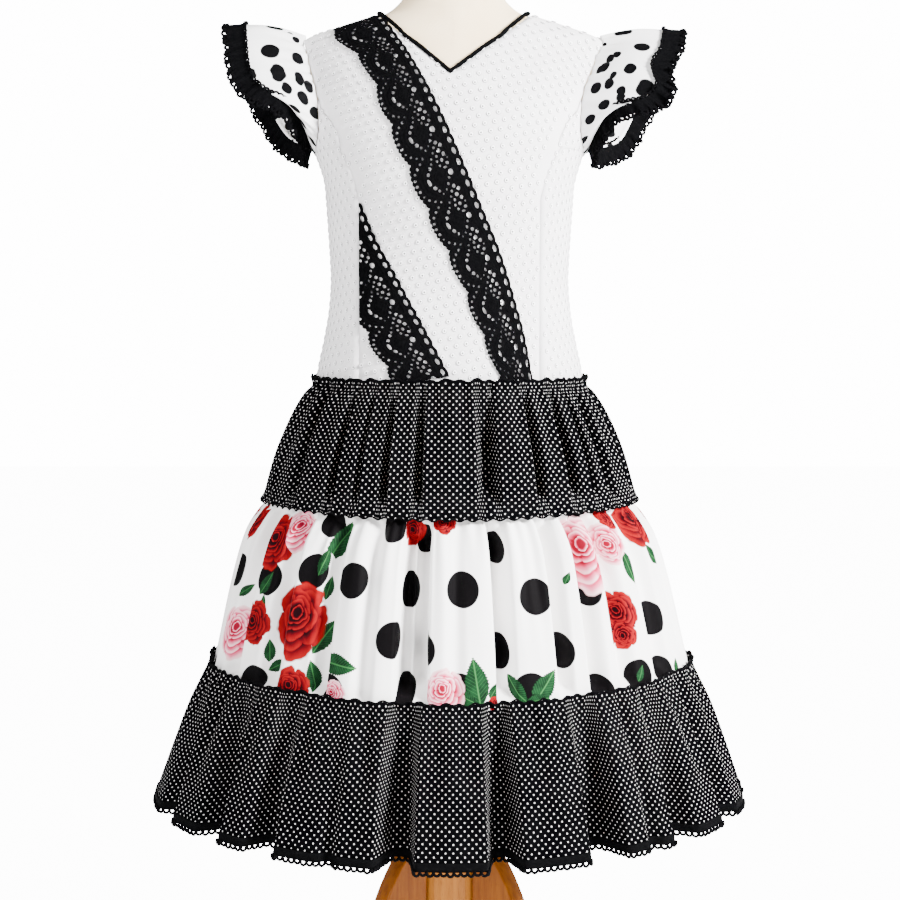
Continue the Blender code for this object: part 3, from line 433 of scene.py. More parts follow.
# the printed tier: big dots, roses and leaves, in mm on the flat cloth, twice round the skirt
floralPrint = {
    "repeat": 824.4, "dotRadius": 17.0,
    "dots": [(-375, -84), (-293, -83), (-226, -70), (-161, -74), (-77, -83), (14, -79), (120, -88),
             (232, -87), (343, -128), (-108, -126), (70, -139), (170, -142), (-31, -134), (-76, -175),
             (-175, -178), (-288, -183), (229, -184), (-218, -19), (-118, -19), (-55, -32), (75, -42),
             (108, -173), (248, -17), (292, -176), (11, -171), (342, -182)],
    # across, down, size, tilt, and 1 where it is pink
    "roses": [(-383, -32, 22, 20), (-300, -47, 30, 60), (-276, -33, 25, 10, 1), (-348, -143, 28, 0, 1),
              (-301, -127, 23, 80), (-238, -117, 38), (-232, -181, 22, 50), (-78, -18, 25, 200),
              (-6, -12, 15, 60), (236, -52, 41, 0, 1), (290, -46, 23, 120, 1), (363, -29, 30, 30),
              (283, -114, 22, 70), (281, -133, 17, 200), (-5, -171, 22, 40, 1), (45, -184, 9),
              (-169, -178, 13, 90, 1), (303, -20, 16, 90)],
    "leaves": [(-202, -39, 25, 65), (-216, -59, 15, 75), (-206, -85, 12, 80), (-203, -130, 20, 55),
               (-167, -152, 21, -6), (-210, -167, 17, 110), (-296, -88, 14, 60), (-295, -108, 10, 100),
               (-345, -101, 10, 40), (-275, -151, 12, 100), (-263, -164, 12, 30), (26, -162, 24, 98),
               (15, -176, 15, 150), (43, -171, 10, 55), (93, -172, 18, -48), (121, -170, 20, 52),
               (116, -182, 14, 8), (309, -73, 18, -78), (373, -68, 17, -42), (188, -74, 7, 60),
               (241, -20, 10, 120), (367, -179, 9, 80), (293, -173, 9, 60)],
    "rings": [  # a rose's rings of petals: size, petals, turn and middle
        (0.98, 5, 0.3, (0.0, 0.0)), (0.80, 5, 1.2, (0.02, 0.06)), (0.62, 4, 0.1, (0.0, 0.12)),
        (0.46, 4, 1.4, (-0.03, 0.16)), (0.32, 3, 0.6, (0.0, 0.2)), (0.18, 3, 2.0, (0.02, 0.22))],
}


def bloomShade(add, spot):
    # a full rose seen from above: rings of petals, each darker where the next ring covers it
    spot = wavering(add, spot, 1.7, 2.0, 0.35)
    shade = None
    for size, petals, turn, middle in floralPrint["rings"]:
        own = add("VectorMath ADD", [spot, (-middle[0], -middle[1], 0)])
        away = add("VectorMath LENGTH", [own])
        x, y = add("SeparateXYZ", [own]).outputs[:2]
        wave = add("Math MULTIPLY_ADD", [add("Math ARCTAN2", [y, x]), petals / 2, turn])
        wave = add("Math ABSOLUTE", [add("Math COSINE", [wave])])
        edge = add("Math MULTIPLY_ADD", [add("Math POWER", [wave, 0.45]), 0.2 * size, 0.8 * size])
        place = add("Math DIVIDE", [away, edge])
        inside = add("MapRange", [place, 1.03, 0.98, 0.0, 1.0])
        rise = add("MapRange", [place, 0.62, 1.0, 0.0, 1.0], interpolation_type="SMOOTHSTEP")
        rise = add("Math ADD", [rise, add("MapRange", [wave, 0.0, 0.35, -0.45, 0.0])])  # dark between petals
        if shade is None:
            shade, mask = rise, inside
        else:
            shade = add("Mix", {0: inside, 2: shade, 3: rise})
    return shade, mask


def leafShade(add, spot):
    # a toothed leaf along its own x, with a midrib and side veins
    x, y = add("SeparateXYZ", [spot]).outputs[:2]
    side = add("Math ABSOLUTE", [y])
    taper = add("Math SUBTRACT", [1.0, add("Math MULTIPLY", [x, x])])
    taper = add("Math MAXIMUM", [taper, 0.0])
    width = add("Math MULTIPLY", [taper, add("Math MULTIPLY_ADD", [x, -0.16, 0.5])])
    teeth = add("Math MULTIPLY", [add("Math MULTIPLY_ADD", [side, -0.8, x]), 7.0])
    teeth = add("Math FRACT", [teeth])
    width = add("Math MULTIPLY_ADD", [teeth, -0.06, width])
    mask = add("MapRange", [add("Math SUBTRACT", [width, side]), -0.01, 0.02, 0.0, 1.0])
    veins = add("Math ABSOLUTE", [add("Math SUBTRACT", [teeth, 0.5])])
    veins = add("MapRange", [veins, 0.10, 0.0, 0.0, 0.45])
    rib = add("MapRange", [side, 0.045, 0.015, 0.0, 0.8])
    return add("Math MAXIMUM", [veins, rib]), mask


def petalTones(add, shade, stops):
    # from the dark under the next ring of petals out to their lit edge
    ramp = add("ValToRGB", [shade])
    elements = ramp.color_ramp.elements
    elements[0].color, elements[1].color = paint(stops[0]), paint(stops[3])
    for place, stop in ((0.3, stops[1]), (0.7, stops[2])):
        elements.new(place).color = paint(stop)
    return ramp


def makePrint():
    # printed cotton satin: white, smooth and softly shiny, with a garden print over big dots
    look = {"Roughness": 0.6, "Specular IOR Level": 0.03}
    material, add, shader, flat = newCloth("printedCottonSatin", look)
    p = floralPrint
    tone = driftingPaint(add, flat, 0.012, "ebe9e8", "f3f1f0")
    dots = dotsOf(add, flat, [(*place, p["dotRadius"]) for place in p["dots"]], p["repeat"], 0.02)
    tone = add("Mix RGBA", {0: dots, 6: tone, 7: "040304"})
    spot = nearestOf(add, flat, p["leaves"], p["repeat"])[0]
    pale, mask = leafShade(add, spot)
    patch = add("TexNoise", {"Vector": spot, "Scale": 2.5, "Detail": 2.0})
    patch = add("MapRange", [patch, 0.35, 0.65, 0.0, 1.0])
    green = add("Mix RGBA", {0: patch, 6: "081b0f", 7: "10341b"})
    green = add("Mix RGBA", {0: pale, 6: green, 7: "2f6434"})
    tone = add("Mix RGBA", {0: mask, 6: tone, 7: green})
    spot, pink = nearestOf(add, flat, p["roses"], p["repeat"])[:2]
    shade, mask = bloomShade(add, spot)
    bloom = add("Mix RGBA", {0: pink, 6: petalTones(add, shade, ("120104", "3c0209", "6a030c", "82090d")),
                             7: petalTones(add, shade, ("780a22", "b43050", "d0738a", "e5babf"))})
    plug(shader, {"Base Color": add("Mix RGBA", {0: mask, 6: tone, 7: bloom})})
    weaveBump(add, shader, flat, 1.2, 0.05)
    return material


eyeletCotton, embroidery = makeEyeletCotton(), makeEmbroidery()
eyeletHole, paintedRingShade = makeEyeletHole(), makePaintedRingShade()
blackLace, blackTrim = makeLaceThread("guipureLaceThread", 0.9), makeLaceThread("gatheredLaceRibbon", 1.2)
pinDots, printedSatin = makePinDots(), makePrint()
sleeveDots = {word: makeSleeveDots("dottedCottonSatin" + word.title(), sleeveSpots[word])
              for word in sleeveSpots}
jersey, zipMetal = makeJersey(), makeZipMetal()
sawnBeech = makeBeech("sawnBeech", "82480d", "693508")
turnedBeech = makeBeech("turnedBeech", "a66929", "8e541c")
print("materials made")


# the body's surface, which the form and the bodice follow
bodyTable = [  # height, half width, half depth, lean, middle, power of the oval
    (640, 134, 100, 0, 0, 2.2), (700, 131, 98, 0, 0, 2.2), (725, 128.3, 95.5, 0, 0, 2.2),
    (755, 122, 91, 0, 0, 2.2), (785, 116.8, 86.5, 0, 0, 2.2), (815, 114.7, 84.5, 0, 0, 2.2),
    (845, 116, 86, 0, 0, 2.2), (875, 117.9, 89, 0, 0, 2.2), (905, 120.2, 91.5, 0, 0, 2.2),
    (930, 126, 91.5, 0, 1, 2.2), (950, 133, 89.5, 0, 2, 2.2), (975, 139.5, 85, 0, 3, 2.1),
    (1000, 143.5, 77.5, 0.5, 4, 1.95), (1025, 146, 67, 2, 5, 1.7), (1046, 146, 56.5, 3.4, 6, 1.5),
    (1050, 142.8, 54.6, 3.5, 6, 1.5), (1053, 136, 53.2, 3.6, 6, 1.5), (1063, 107, 49.5, 4, 6, 1.5),
    (1074, 73, 46.5, 4, 6, 1.7), (1082, 59, 45.5, 4, 5, 1.9), (1092, 51, 45, 4, 4, 2),
    (1128, 50.5, 44.5, 4, 3, 2),
]
clothOut = 2.6  # the bodice's outer face, from the body


def bodyValue(x, y, height):
    halfWidth, halfDepth, lean, middle, power = readTable(bodyTable, height)
    return (np.abs(x - lean) / halfWidth) ** power + (np.abs(y - middle) / halfDepth) ** power


def bodyNormal(points):
    x, y, z = np.moveaxis(points, -1, 0)
    step = 0.4
    return unit(np.stack([
        bodyValue(x + step, y, z) - bodyValue(x - step, y, z),
        bodyValue(x, y + step, z) - bodyValue(x, y - step, z),
        bodyValue(x, y, z + step) - bodyValue(x, y, z - step)], -1))


def bodyPoint(angle, height, out=0.0):
    angle, height, out = np.broadcast_arrays(*(np.asarray(v, float) for v in (angle, height, out)))
    halfWidth, halfDepth, lean, middle, power = readTable(bodyTable, height)
    x = lean + halfWidth * signedPower(np.sin(angle), 2 / power)
    y = middle - halfDepth * signedPower(np.cos(angle), 2 / power)
    points = np.stack([x, y, height], -1)
    return points + bodyNormal(points) * out[..., None] if np.any(out) else points


def bodyAngle(x, height):
    halfWidth, halfDepth, lean, middle, power = readTable(bodyTable, height)
    share = np.minimum(np.abs(x - lean) / halfWidth, 1.0)
    return np.copysign(np.arcsin(share ** (power / 2)), x - lean)


def frontPoint(x, height, out):
    return bodyPoint(bodyAngle(x, height), height, out)


# dress form: a padded torso under stretched jersey. rows: from, to and how many
formTorso = {"inset": 0.9, "columns": 96, "round": 780, "rows": (
    (640, 1040, 41), (1040, 1095, 34), (1095, 1128, 6))}


def buildForm():
    f = formTorso
    heights = np.unique(np.concatenate([np.linspace(*rows) for rows in f["rows"]]))
    columns, last = f["columns"], (len(heights) - 1) * f["columns"]
    points = bodyPoint(turns(columns, 0.5) - math.pi, heights[:, None], -f["inset"])
    uv = cornerPlaces(grid(np.linspace(0, f["round"], columns + 1), heights[:, None]))
    ends = [list(range(columns))[::-1], list(range(last, last + columns))]
    faces = gridFaces(len(heights), columns, aroundColumns=True).tolist() + ends
    flatEnds = points.reshape(-1, 3)[ends[0] + ends[1]][:, :2]
    makePiece("formTorso", points, faces, jersey, "cream_jersey", np.concatenate([uv, flatEnds]),
              node="form_torso")


# bodice: two front seams, two side seams, a centre back seam and an open neck
bodice = {
    "waistRows": (704, 738, 776, 814, 852, 890, 916, 940),
    "armholeRows": (943, 950, 961, 976, 992, 1007, 1021, 1033, 1042),
    "underarm": 940.0, "shoulderTip": 1050.0, "armholeInset": 16.0, "armholeSkew": 0.8,
    "nearRidge": math.radians(84.5),  # the last row before the shoulder seam
    "neckPoint": 1072.0, "vPoint": 1007.5, "vRows": 4, "vSteps": (0.22, 0.44, 0.64, 0.82, 0.93),
    "backNeck": 1061.0, "backRows": 6, "backSteps": (0.36, 0.66, 0.88),
    "seamX": 85.0, "seamShare": 0.6, "seamSwing": (0, 0, 0, 0, 0, 0, 0.1, 0.26, 0.3, 0.42, 0.6, 0.9, 1.0),
    "finer": 4, "wall": 0.9, "step": 0.3, "sideStep": 0.4, "sideDrop": 0.7, "weld": 0.05,
    "columns": {"centre": 18, "side": 12, "back": 28},
}
neckX = float(readTable(bodyTable, bodice["neckPoint"])[0])


def armholeAngle(height):
    share = np.clip((height - bodice["underarm"]) / (bodice["shoulderTip"] - bodice["underarm"]), 0, 1)
    halfWidth, halfDepth, lean, middle, power = readTable(bodyTable, height)
    inset = bodice["armholeInset"] * np.sin(math.pi * share ** bodice["armholeSkew"])
    return bodyAngle(lean + halfWidth - inset, height)


def armholeEdge(share):
    height = blend(bodice["underarm"], bodice["shoulderTip"], share)
    return armholeAngle(height), height


def neckEdge(share, front):
    # the neckline from its lowest point to the shoulder seam, as an angle and a height
    rise = share if front else 1 - np.sqrt(1 - np.minimum(share, 1) ** 2)
    height = blend(bodice["vPoint" if front else "backNeck"], bodice["neckPoint"], rise)
    lean = readTable(bodyTable, height)[2]
    return np.where(share >= 1, quarter, bodyAngle(lean + neckX * share, height)), height


def ridgePlace(edge):
    # where an edge comes to the last row before the shoulder seam
    shares = np.linspace(0.8, 1.0, 4001)
    angles, heights = edge(shares)
    place = int(np.argmax(angles >= bodice["nearRidge"]))
    return shares[place], heights[place]


def panelEdges(front):
    # the number of each fine row, then the outer and the inner edge as their angles and heights
    b = bodice
    coarse, last = len(b["waistRows"]) + len(b["armholeRows"]) + 2, len(b["waistRows"]) - 1
    row = np.linspace(0, coarse - 1, (coarse - 1) * b["finer"] + 1)
    pastRidge = np.clip(row - (coarse - 2), 0, 1)
    endAngle = blend(b["nearRidge"], quarter, pastRidge)
    ridge = ridgePlace(armholeEdge)[1]
    outerHeight = np.interp(row, range(coarse), [*b["waistRows"], *b["armholeRows"], ridge, b["shoulderTip"]])
    outerAngle = np.where(outerHeight <= b["underarm"], quarter, armholeAngle(outerHeight))
    outerAngle = np.where(pastRidge > 0, endAngle, outerAngle)
    rows, top, steps = [b[key] for key in (("vRows", "vPoint", "vSteps") if front else
                                           ("backRows", "backNeck", "backSteps"))]
    nearShare, nearHeight = ridgePlace(lambda share: neckEdge(share, front))
    share = np.interp(row, range(last + rows, coarse - 1), [0.0, *steps, nearShare])
    edgeAngle, edgeHeight = neckEdge(share, front)
    climb = blend(b["underarm"], top, np.clip((row - last) / rows, 0, 1))
    innerHeight = np.where(row <= last, outerHeight, np.where(row <= last + rows, climb, edgeHeight))
    innerHeight = np.where(pastRidge > 0, blend(nearHeight, b["neckPoint"], pastRidge), innerHeight)
    innerAngle = np.where(row <= last + rows, 0.0, edgeAngle)
    innerAngle = np.where(pastRidge > 0, endAngle, innerAngle)
    return row, np.array([outerAngle, outerHeight]), np.array([innerAngle, innerHeight])


def seamSwing(row):
    return np.interp(row, range(len(bodice["seamSwing"])), bodice["seamSwing"])


def seamEdge(row, outer, inner):
    # where the front seam crosses each row
    height = blend(inner[1], outer[1], bodice["seamShare"])
    angle = blend(bodyAngle(bodice["seamX"], height), outer[0], seamSwing(row))
    share = (angle - inner[0]) / np.maximum(outer[0] - inner[0], 1e-6)
    return np.array([angle, blend(inner[1], outer[1], share)])


bodicePulls = [  # soft pulls from the underarms and towards the waist
    # middle, direction, length, width and height of each
    (-112, 925, 1, -0.5, 26, 5, 0.9), (-108, 905, 1, -0.3, 24, 6, -0.6), (110, 925, -1, -0.5, 26, 5, 0.9),
    (106, 902, -1, -0.35, 26, 6, -0.6), (-62, 735, 0.3, 1, 30, 7, 0.7), (104, 740, -0.3, 1, 28, 7, 0.8),
    (84, 735, 0.1, 1, 26, 6, -0.6), (12, 730, 0.0, 1, 22, 6, 0.6), (95, 1020, -0.6, -1, 26, 6, 0.7),
    (-112, 735, 0.2, 1, 26, 6, 0.7), (60, 860, 0.2, 1, 60, 16, 0.5), (-100, 1010, 0.5, -1, 24, 7, 0.6),
]


def pullLift(points):
    # how far the pulls raise the cloth at each point
    lift = np.zeros(points.shape[:-1])
    for x, z, dx, dz, length, width, height in bodicePulls:
        way = np.array([dx, dz]) / math.hypot(dx, dz)
        ahead = (points[..., 0] - x) * way[0] + (points[..., 2] - z) * way[1]
        side = (points[..., 0] - x) * way[1] - (points[..., 2] - z) * way[0]
        lift += height * np.exp(-(ahead / length) ** 2 - (side / width) ** 2)
    return lift[..., None]


def panelPoints(start, end, columns, side, shift, back=False):
    angle, height = blend(start[..., None], end[..., None], np.linspace(0, 1, columns + 1))
    points = bodyPoint(side * (math.pi - angle if back else angle), height, clothOut)
    points = points + bodyNormal(points) * pullLift(points)
    points = points + np.array([side * shift[0], shift[1], 0.0])
    return points[:, ::-1] if (side < 0) != back else points


def panelUv(points, zero=0.5):
    # a panel's flat place: the length along each row from a share of its way, and the height
    across = acrossRows(points)
    return grid(across - across[:, -1:] * zero, points[..., 2])


def weld(piece, distance):
    shape = bmesh.new()
    shape.from_mesh(piece.data)
    bmesh.ops.remove_doubles(shape, verts=shape.verts, dist=distance * mm)
    shape.to_mesh(piece.data)
    shape.free()


def buildBodice():
    b = bodice
    cotton = (eyeletCotton, "white_eyelet_cotton")
    row, outer, inner = panelEdges(True)
    seam = seamEdge(row, outer, inner)
    # the centre front is one cut, split only above the point of the V
    centreEdge = np.where(row <= len(b["seamSwing"]) - 1, seam, outer)
    halves = [panelPoints(inner, centreEdge, b["columns"]["centre"], side, (0, -b["step"]))
              for side in (-1, 1)]
    points, faces = joined([(half.reshape(-1, 3), gridFaces(*half.shape[:2])) for half in halves])
    uv = np.concatenate([cornerPlaces(panelUv(half, zero)) for half, zero in zip(halves, (1, 0))])
    made = [makePiece("bodiceCentreFront", points, faces, *cotton, uv, node="bodice_centre_front")]
    weld(made[0], b["weld"])
    addWall(made[0], b["wall"])
    near = row <= len(b["seamSwing"]) - 1.1
    for side, word in ((-1, "right"), (1, "left")):
        points = panelPoints(seam[:, near], outer[:, near], b["columns"]["side"], side,
                             (b["sideStep"], -b["step"]))
        points[..., 2] -= b["sideDrop"] * seamSwing(row[near])[:, None]
        made.append(clothPiece("bodiceSideFront" + word.title(), points, panelUv(points), *cotton,
                               b["wall"], "bodice_side_front_" + word))
    row, outer, inner = panelEdges(False)
    for side, word in ((-1, "right"), (1, "left")):
        points = panelPoints(inner, outer, b["columns"]["back"], side, (b["step"], b["step"]), back=True)
        made.append(clothPiece("bodiceBack" + word.title(), points, panelUv(points), *cotton,
                               b["wall"], "bodice_back_" + word))
    return made


# broderie anglaise: a small hole in a satin stitched ring, all over the bodice
eyelets = {
    "steps": ((5.7, -7.0), (9.4, 1.9)),  # the two steps of the lattice, in mm
    "hole": 0.86, "crest": 2.0, "edge": 2.5,  # radii of the ring
    "rise": 0.9, "clear": 3.4, "sides": 8,
    "low": 711, "high": 1071, "side": 210, "start": 880, "level": 1.5,  # the lattice's reach and start
    "seamSwing": ((916, 940, 961, 992, 1007), (0.02, 0.2, 0.42, 0.9, 1.0)),
}


def eyeletPlaces(front):
    # middles and normals of the rings on the front or on the back
    e = eyelets
    clear = e["clear"]
    heights = np.arange(e["low"] - 2.0, e["high"] + 1.0, e["level"])
    angles = np.linspace(-quarter, quarter, 361)
    across = acrossRows(bodyPoint(angles if front else math.pi - angles, heights[:, None], clothOut))
    across -= across[:, 180:181]
    i, j = np.mgrid[-75:76, -75:76].reshape(2, -1)
    (ax, az), (bx, bz) = e["steps"]
    x, height = i * ax + j * bx, e["start"] + i * az + j * bz
    keep = (height > e["low"]) & (height < e["high"]) & (np.abs(x) <= e["side"])
    x, height = x[keep], height[keep]
    run = across[np.rint((height - heights[0]) / e["level"]).astype(int)]
    keep = (x > run[:, 0]) & (x < run[:, -1])
    x, height, run = x[keep], height[keep], run[keep]
    angle = np.array([np.interp(x[k], run[k], angles) for k in range(len(x))])
    middles = bodyPoint(angle if front else math.pi - angle, height, clothOut)
    # clear of the armhole, the neck and the seams
    halfWidth, halfDepth, lean, middle, power = readTable(bodyTable, height)
    keep = np.abs(angle) + clear / halfWidth < armholeAngle(height)
    off = np.abs(middles[:, 0] - lean)
    if front:
        share = (height - clear * 1.6 - bodice["vPoint"]) / (bodice["neckPoint"] - bodice["vPoint"])
        keep &= off - clear * 0.6 > neckX * np.clip(share, -1, 1)
        swing = np.interp(height, *e["seamSwing"])
        seam = blend(bodyAngle(bodice["seamX"], height), armholeAngle(height), swing)
        keep &= np.abs(np.abs(angle) - seam) * halfDepth > clear
    else:
        top = neckEdge(np.clip((off - clear) / neckX, 0, 1), False)[1]
        keep &= (height < top - clear * 1.5) & (off > clear * 2.4)
    return middles[keep], bodyNormal(middles[keep])


def buildEyelets(front, name):
    e = eyelets
    middles, normals = eyeletPlaces(front)
    middles = middles + normals * pullLift(middles)
    middles[:, 1] += -bodice["step"] if front else bodice["step"]
    side = unit(np.cross(normals, (0.0, 0.0, 1.0)))
    up = np.cross(side, normals)
    turn = turns(e["sides"])
    ring = side[:, None] * np.cos(turn)[:, None] + up[:, None] * np.sin(turn)[:, None] * 1.08
    levels = ((e["hole"] * 0.9, 0.45), (e["hole"], 0.5), (e["crest"], e["rise"]), (e["edge"], 0.02))
    points = np.concatenate([middles[:, None] + ring * radius + normals[:, None] * lift
                             for radius, lift in levels], 1)
    count, sides = len(middles), e["sides"]
    first = np.arange(count)[:, None, None] * len(levels) * sides
    faces = (gridFaces(3, sides, aroundColumns=True) + sides + first).reshape(-1, 4).tolist()
    holes = (np.arange(sides) + first[:, 0]).tolist()
    # the inner slope of each ring is stitches, the outer slope painted shade, and the disc over the hole the
    # shade inside it
    kinds = ([0] * sides + [2] * sides) * count + [1] * count
    print(name, count, "eyelets")
    return makePiece(name, points, faces + holes, [embroidery, eyeletHole, paintedRingShade], "white_eyelet_cotton",
                     faceMaterials=kinds)


# neckline piping: a corded bias strip
piping = {"radius": 2.15, "frontRise": 1.9, "backRise": 2.1, "out": 2.9, "sides": 10,
          "front": ((0.02, 0.9, 34), (0.91, 0.96, 4)), "back": ((0.96, 0.3, 26), (0.25, 0.0, 8))}


def tubeUv(path, sides, radius, faces):
    # each corner's place on a closed tube, unrolled
    def lapped(number, count):
        # a face that closes a ring counts on instead of starting again
        return np.where((np.ptp(number, axis=1)[:, None] > 1) & (number == 0), count, number)

    row, turn = np.divmod(np.asarray(faces), sides)
    run = along(path, closed=True)[lapped(row, len(path))]
    return np.stack([run, lapped(turn, sides) * fullTurn * radius / sides], -1)


def buildPiping():
    p = piping
    front, back = (neckEdge(np.concatenate([np.linspace(*part) for part in p[key]]), key == "front")
                   for key in ("front", "back"))
    angles = np.concatenate([[0.0], front[0], [quarter], math.pi - back[0]])
    heights = np.concatenate([[bodice["vPoint"] + p["frontRise"]], front[1] + p["frontRise"],
                              [bodice["neckPoint"] + p["backRise"]], back[1] + p["backRise"]])
    right = bodyPoint(angles, heights, p["out"])
    left = bodyPoint(-angles[1:-1], heights[1:-1], p["out"])
    path = np.concatenate([right, left[::-1]])
    twist = 1 + 0.05 * np.sin(np.arange(len(path)) * 2.4)
    points, faces = tube(path, p["radius"] * twist, p["sides"], bodyNormal(path), closed=True)
    return makePiece("neckPiping", points, faces, blackTrim, "black_trim",
                     tubeUv(path, p["sides"], p["radius"], faces), node="neck_piping")


# guipure lace: a scalloped band that is all cords and holes, sewn flat on the bodice
guipure = {
    "repeat": 43.1, "width": 54.5, "grid": 0.6, "wall": 0.9, "lift": 4.6, "open": 0.86,
    # along the repeat, in from the straight edge, half length, half width, turn in degrees
    "holes": [
        (10.8, 33.1, 1.9, 1.7, 0), (15.0, 36.6, 2.0, 1.8, 20), (22.0, 38.6, 4.0, 1.8, -6),
        (28.6, 35.5, 2.3, 1.9, -30), (32.7, 32.6, 1.6, 1.5, 0), (36.5, 30.0, 1.1, 1.0, 0),
        (7.4, 30.2, 1.3, 1.2, 0), (3.2, 28.3, 1.3, 1.1, 0), (21.3, 15.6, 3.3, 2.6, 0),
        (25.6, 19.2, 1.5, 1.4, 0), (30.2, 22.2, 1.9, 1.4, 0), (34.3, 25.7, 1.2, 1.0, 0),
        (15.4, 18.6, 1.2, 2.1, 20), (12.0, 22.8, 1.5, 1.4, 0), (7.4, 24.0, 1.5, 1.2, 0),
        (34.2, 18.2, 2.1, 1.9, 0), (38.0, 14.9, 2.2, 1.9, 0), (37.8, 21.9, 1.6, 1.4, 0),
        (42.2, 18.6, 2.2, 2.1, 0), (3.4, 15.3, 2.1, 1.9, 0), (41.9, 24.6, 1.4, 1.2, 0),
        (2.9, 22.4, 1.6, 1.5, 0), (8.0, 19.3, 2.0, 1.7, 0), (12.4, 15.3, 1.8, 1.8, 0),
        (7.8, 13.4, 1.1, 1.0, 0), (42.3, 35.6, 1.2, 1.2, 0), (2.9, 40.0, 1.4, 1.4, 0),
        (5.8, 44.4, 1.6, 1.4, 0), (9.4, 48.4, 1.5, 1.5, 0), (14.6, 50.6, 1.5, 1.6, 0),
        (20.0, 51.0, 1.5, 1.7, 0), (25.6, 50.2, 1.6, 1.7, 0), (31.4, 48.6, 1.1, 1.1, 0),
        (36.2, 45.2, 1.4, 1.5, 0), (39.6, 40.4, 1.2, 1.4, 0)],
    "eyelet": (4.9, 3.2, 1.65),  # in from the edge, half length, half width
}
# eyelets: how many run along the straight edge. cut: where it is cut off, at the princess seam.
# scaled: whether the pattern narrows with the lace. start: where in the repeat it begins
longLace = {
    "stations": [  # left x and height, then right x and height, at even steps down the lace
        (-117, 1054, -65, 1070), (-79, 1011, -38, 1029), (-59, 960, -13, 983), (-18, 866, 28, 889),
        (8, 812, 50, 833), (21, 778, 61, 795), (36, 742, 71, 756), (47, 714, 78, 716)],
    "eyelets": 37.5, "cut": None, "scaled": True, "start": -0.13,
}
shortLace = {
    "stations": [
        (-84.2, 886, -82.5, 889), (-84.2, 845, -67, 852), (-84.2, 808, -52, 824), (-81, 777, -37, 795),
        (-66, 743, -17, 757), (-55, 714, 1, 722)],
    "eyelets": 18, "cut": -84.0, "scaled": False, "start": 2.0,
}


def laceEdges(lace, at):
    # the straight edge's and the scalloped edge's flat places
    rows = lace["stations"]
    leftX, leftZ, rightX, rightZ = readTable([(i / (len(rows) - 1), *row) for i, row in enumerate(rows)], at)
    return np.stack([rightX, rightZ], -1), np.stack([leftX, leftZ], -1)


def laceRun(lace):
    # the way down the middle of the lace over the body, in mm
    at = np.linspace(0, 1, 400)
    straight, scallop = laceEdges(lace, at)
    return at, along(frontPoint(*((straight + scallop) / 2).T, 4.0))


def lacePlace(lace, share):
    # the edges at a share of the length
    at, run = laceRun(lace)
    return laceEdges(lace, np.interp(share, run / run[-1], at))


def arches(depth, turn, power):
    # a row of arches, whose ends reach in by the depth
    return depth * (1 - np.abs(np.sin(turn)) ** power)


def laceField(lace, share, inwards, width):
    # how far inside the cords each place is, in mm: holes and outside are below 0
    g = guipure
    repeats = share * lace["eyelets"] / 4 + lace["start"]
    place, beat = (repeats % 1.0) * g["repeat"], g["repeat"] / 4
    inwards = inwards * g["width"] / width if lace["scaled"] else inwards
    field = np.full(np.broadcast(place, inwards).shape, 9.0)
    for hole, middle, halfLong, halfWide, turn in g["holes"]:
        a = (place - hole + g["repeat"] / 2) % g["repeat"] - g["repeat"] / 2
        b = inwards - middle
        c, s = math.cos(math.radians(turn)), math.sin(math.radians(turn))
        away = np.hypot((a * c + b * s) / halfLong, (b * c - a * s) / halfWide) / g["open"] - 1
        field = np.minimum(field, away * min(halfLong, halfWide))
    depth, halfLong, halfWide = g["eyelet"]
    a = (place + beat) % beat - beat / 2
    field = np.minimum(field, (np.hypot(a / halfLong, (inwards - depth) / halfWide) - 1) * halfWide)
    # the straight edge is a chain of loops, the other one deep scallops edged with fine loops
    loops = arches(1.4, math.pi * place / beat, 0.8)
    field = np.minimum(field, inwards - loops)
    notch = arches(5.4, math.pi * (repeats % 1.0) ** 0.82, 0.75)
    tiny = arches(1.5, math.pi * place / g["repeat"] * 9, 0.9)
    return np.minimum(field, g["width"] - notch - tiny - inwards)


def fourCorners(values):
    # the sum of the values at the corners of each face of a grid
    return values[:-1, :-1] + values[1:, :-1] + values[:-1, 1:] + values[1:, 1:]


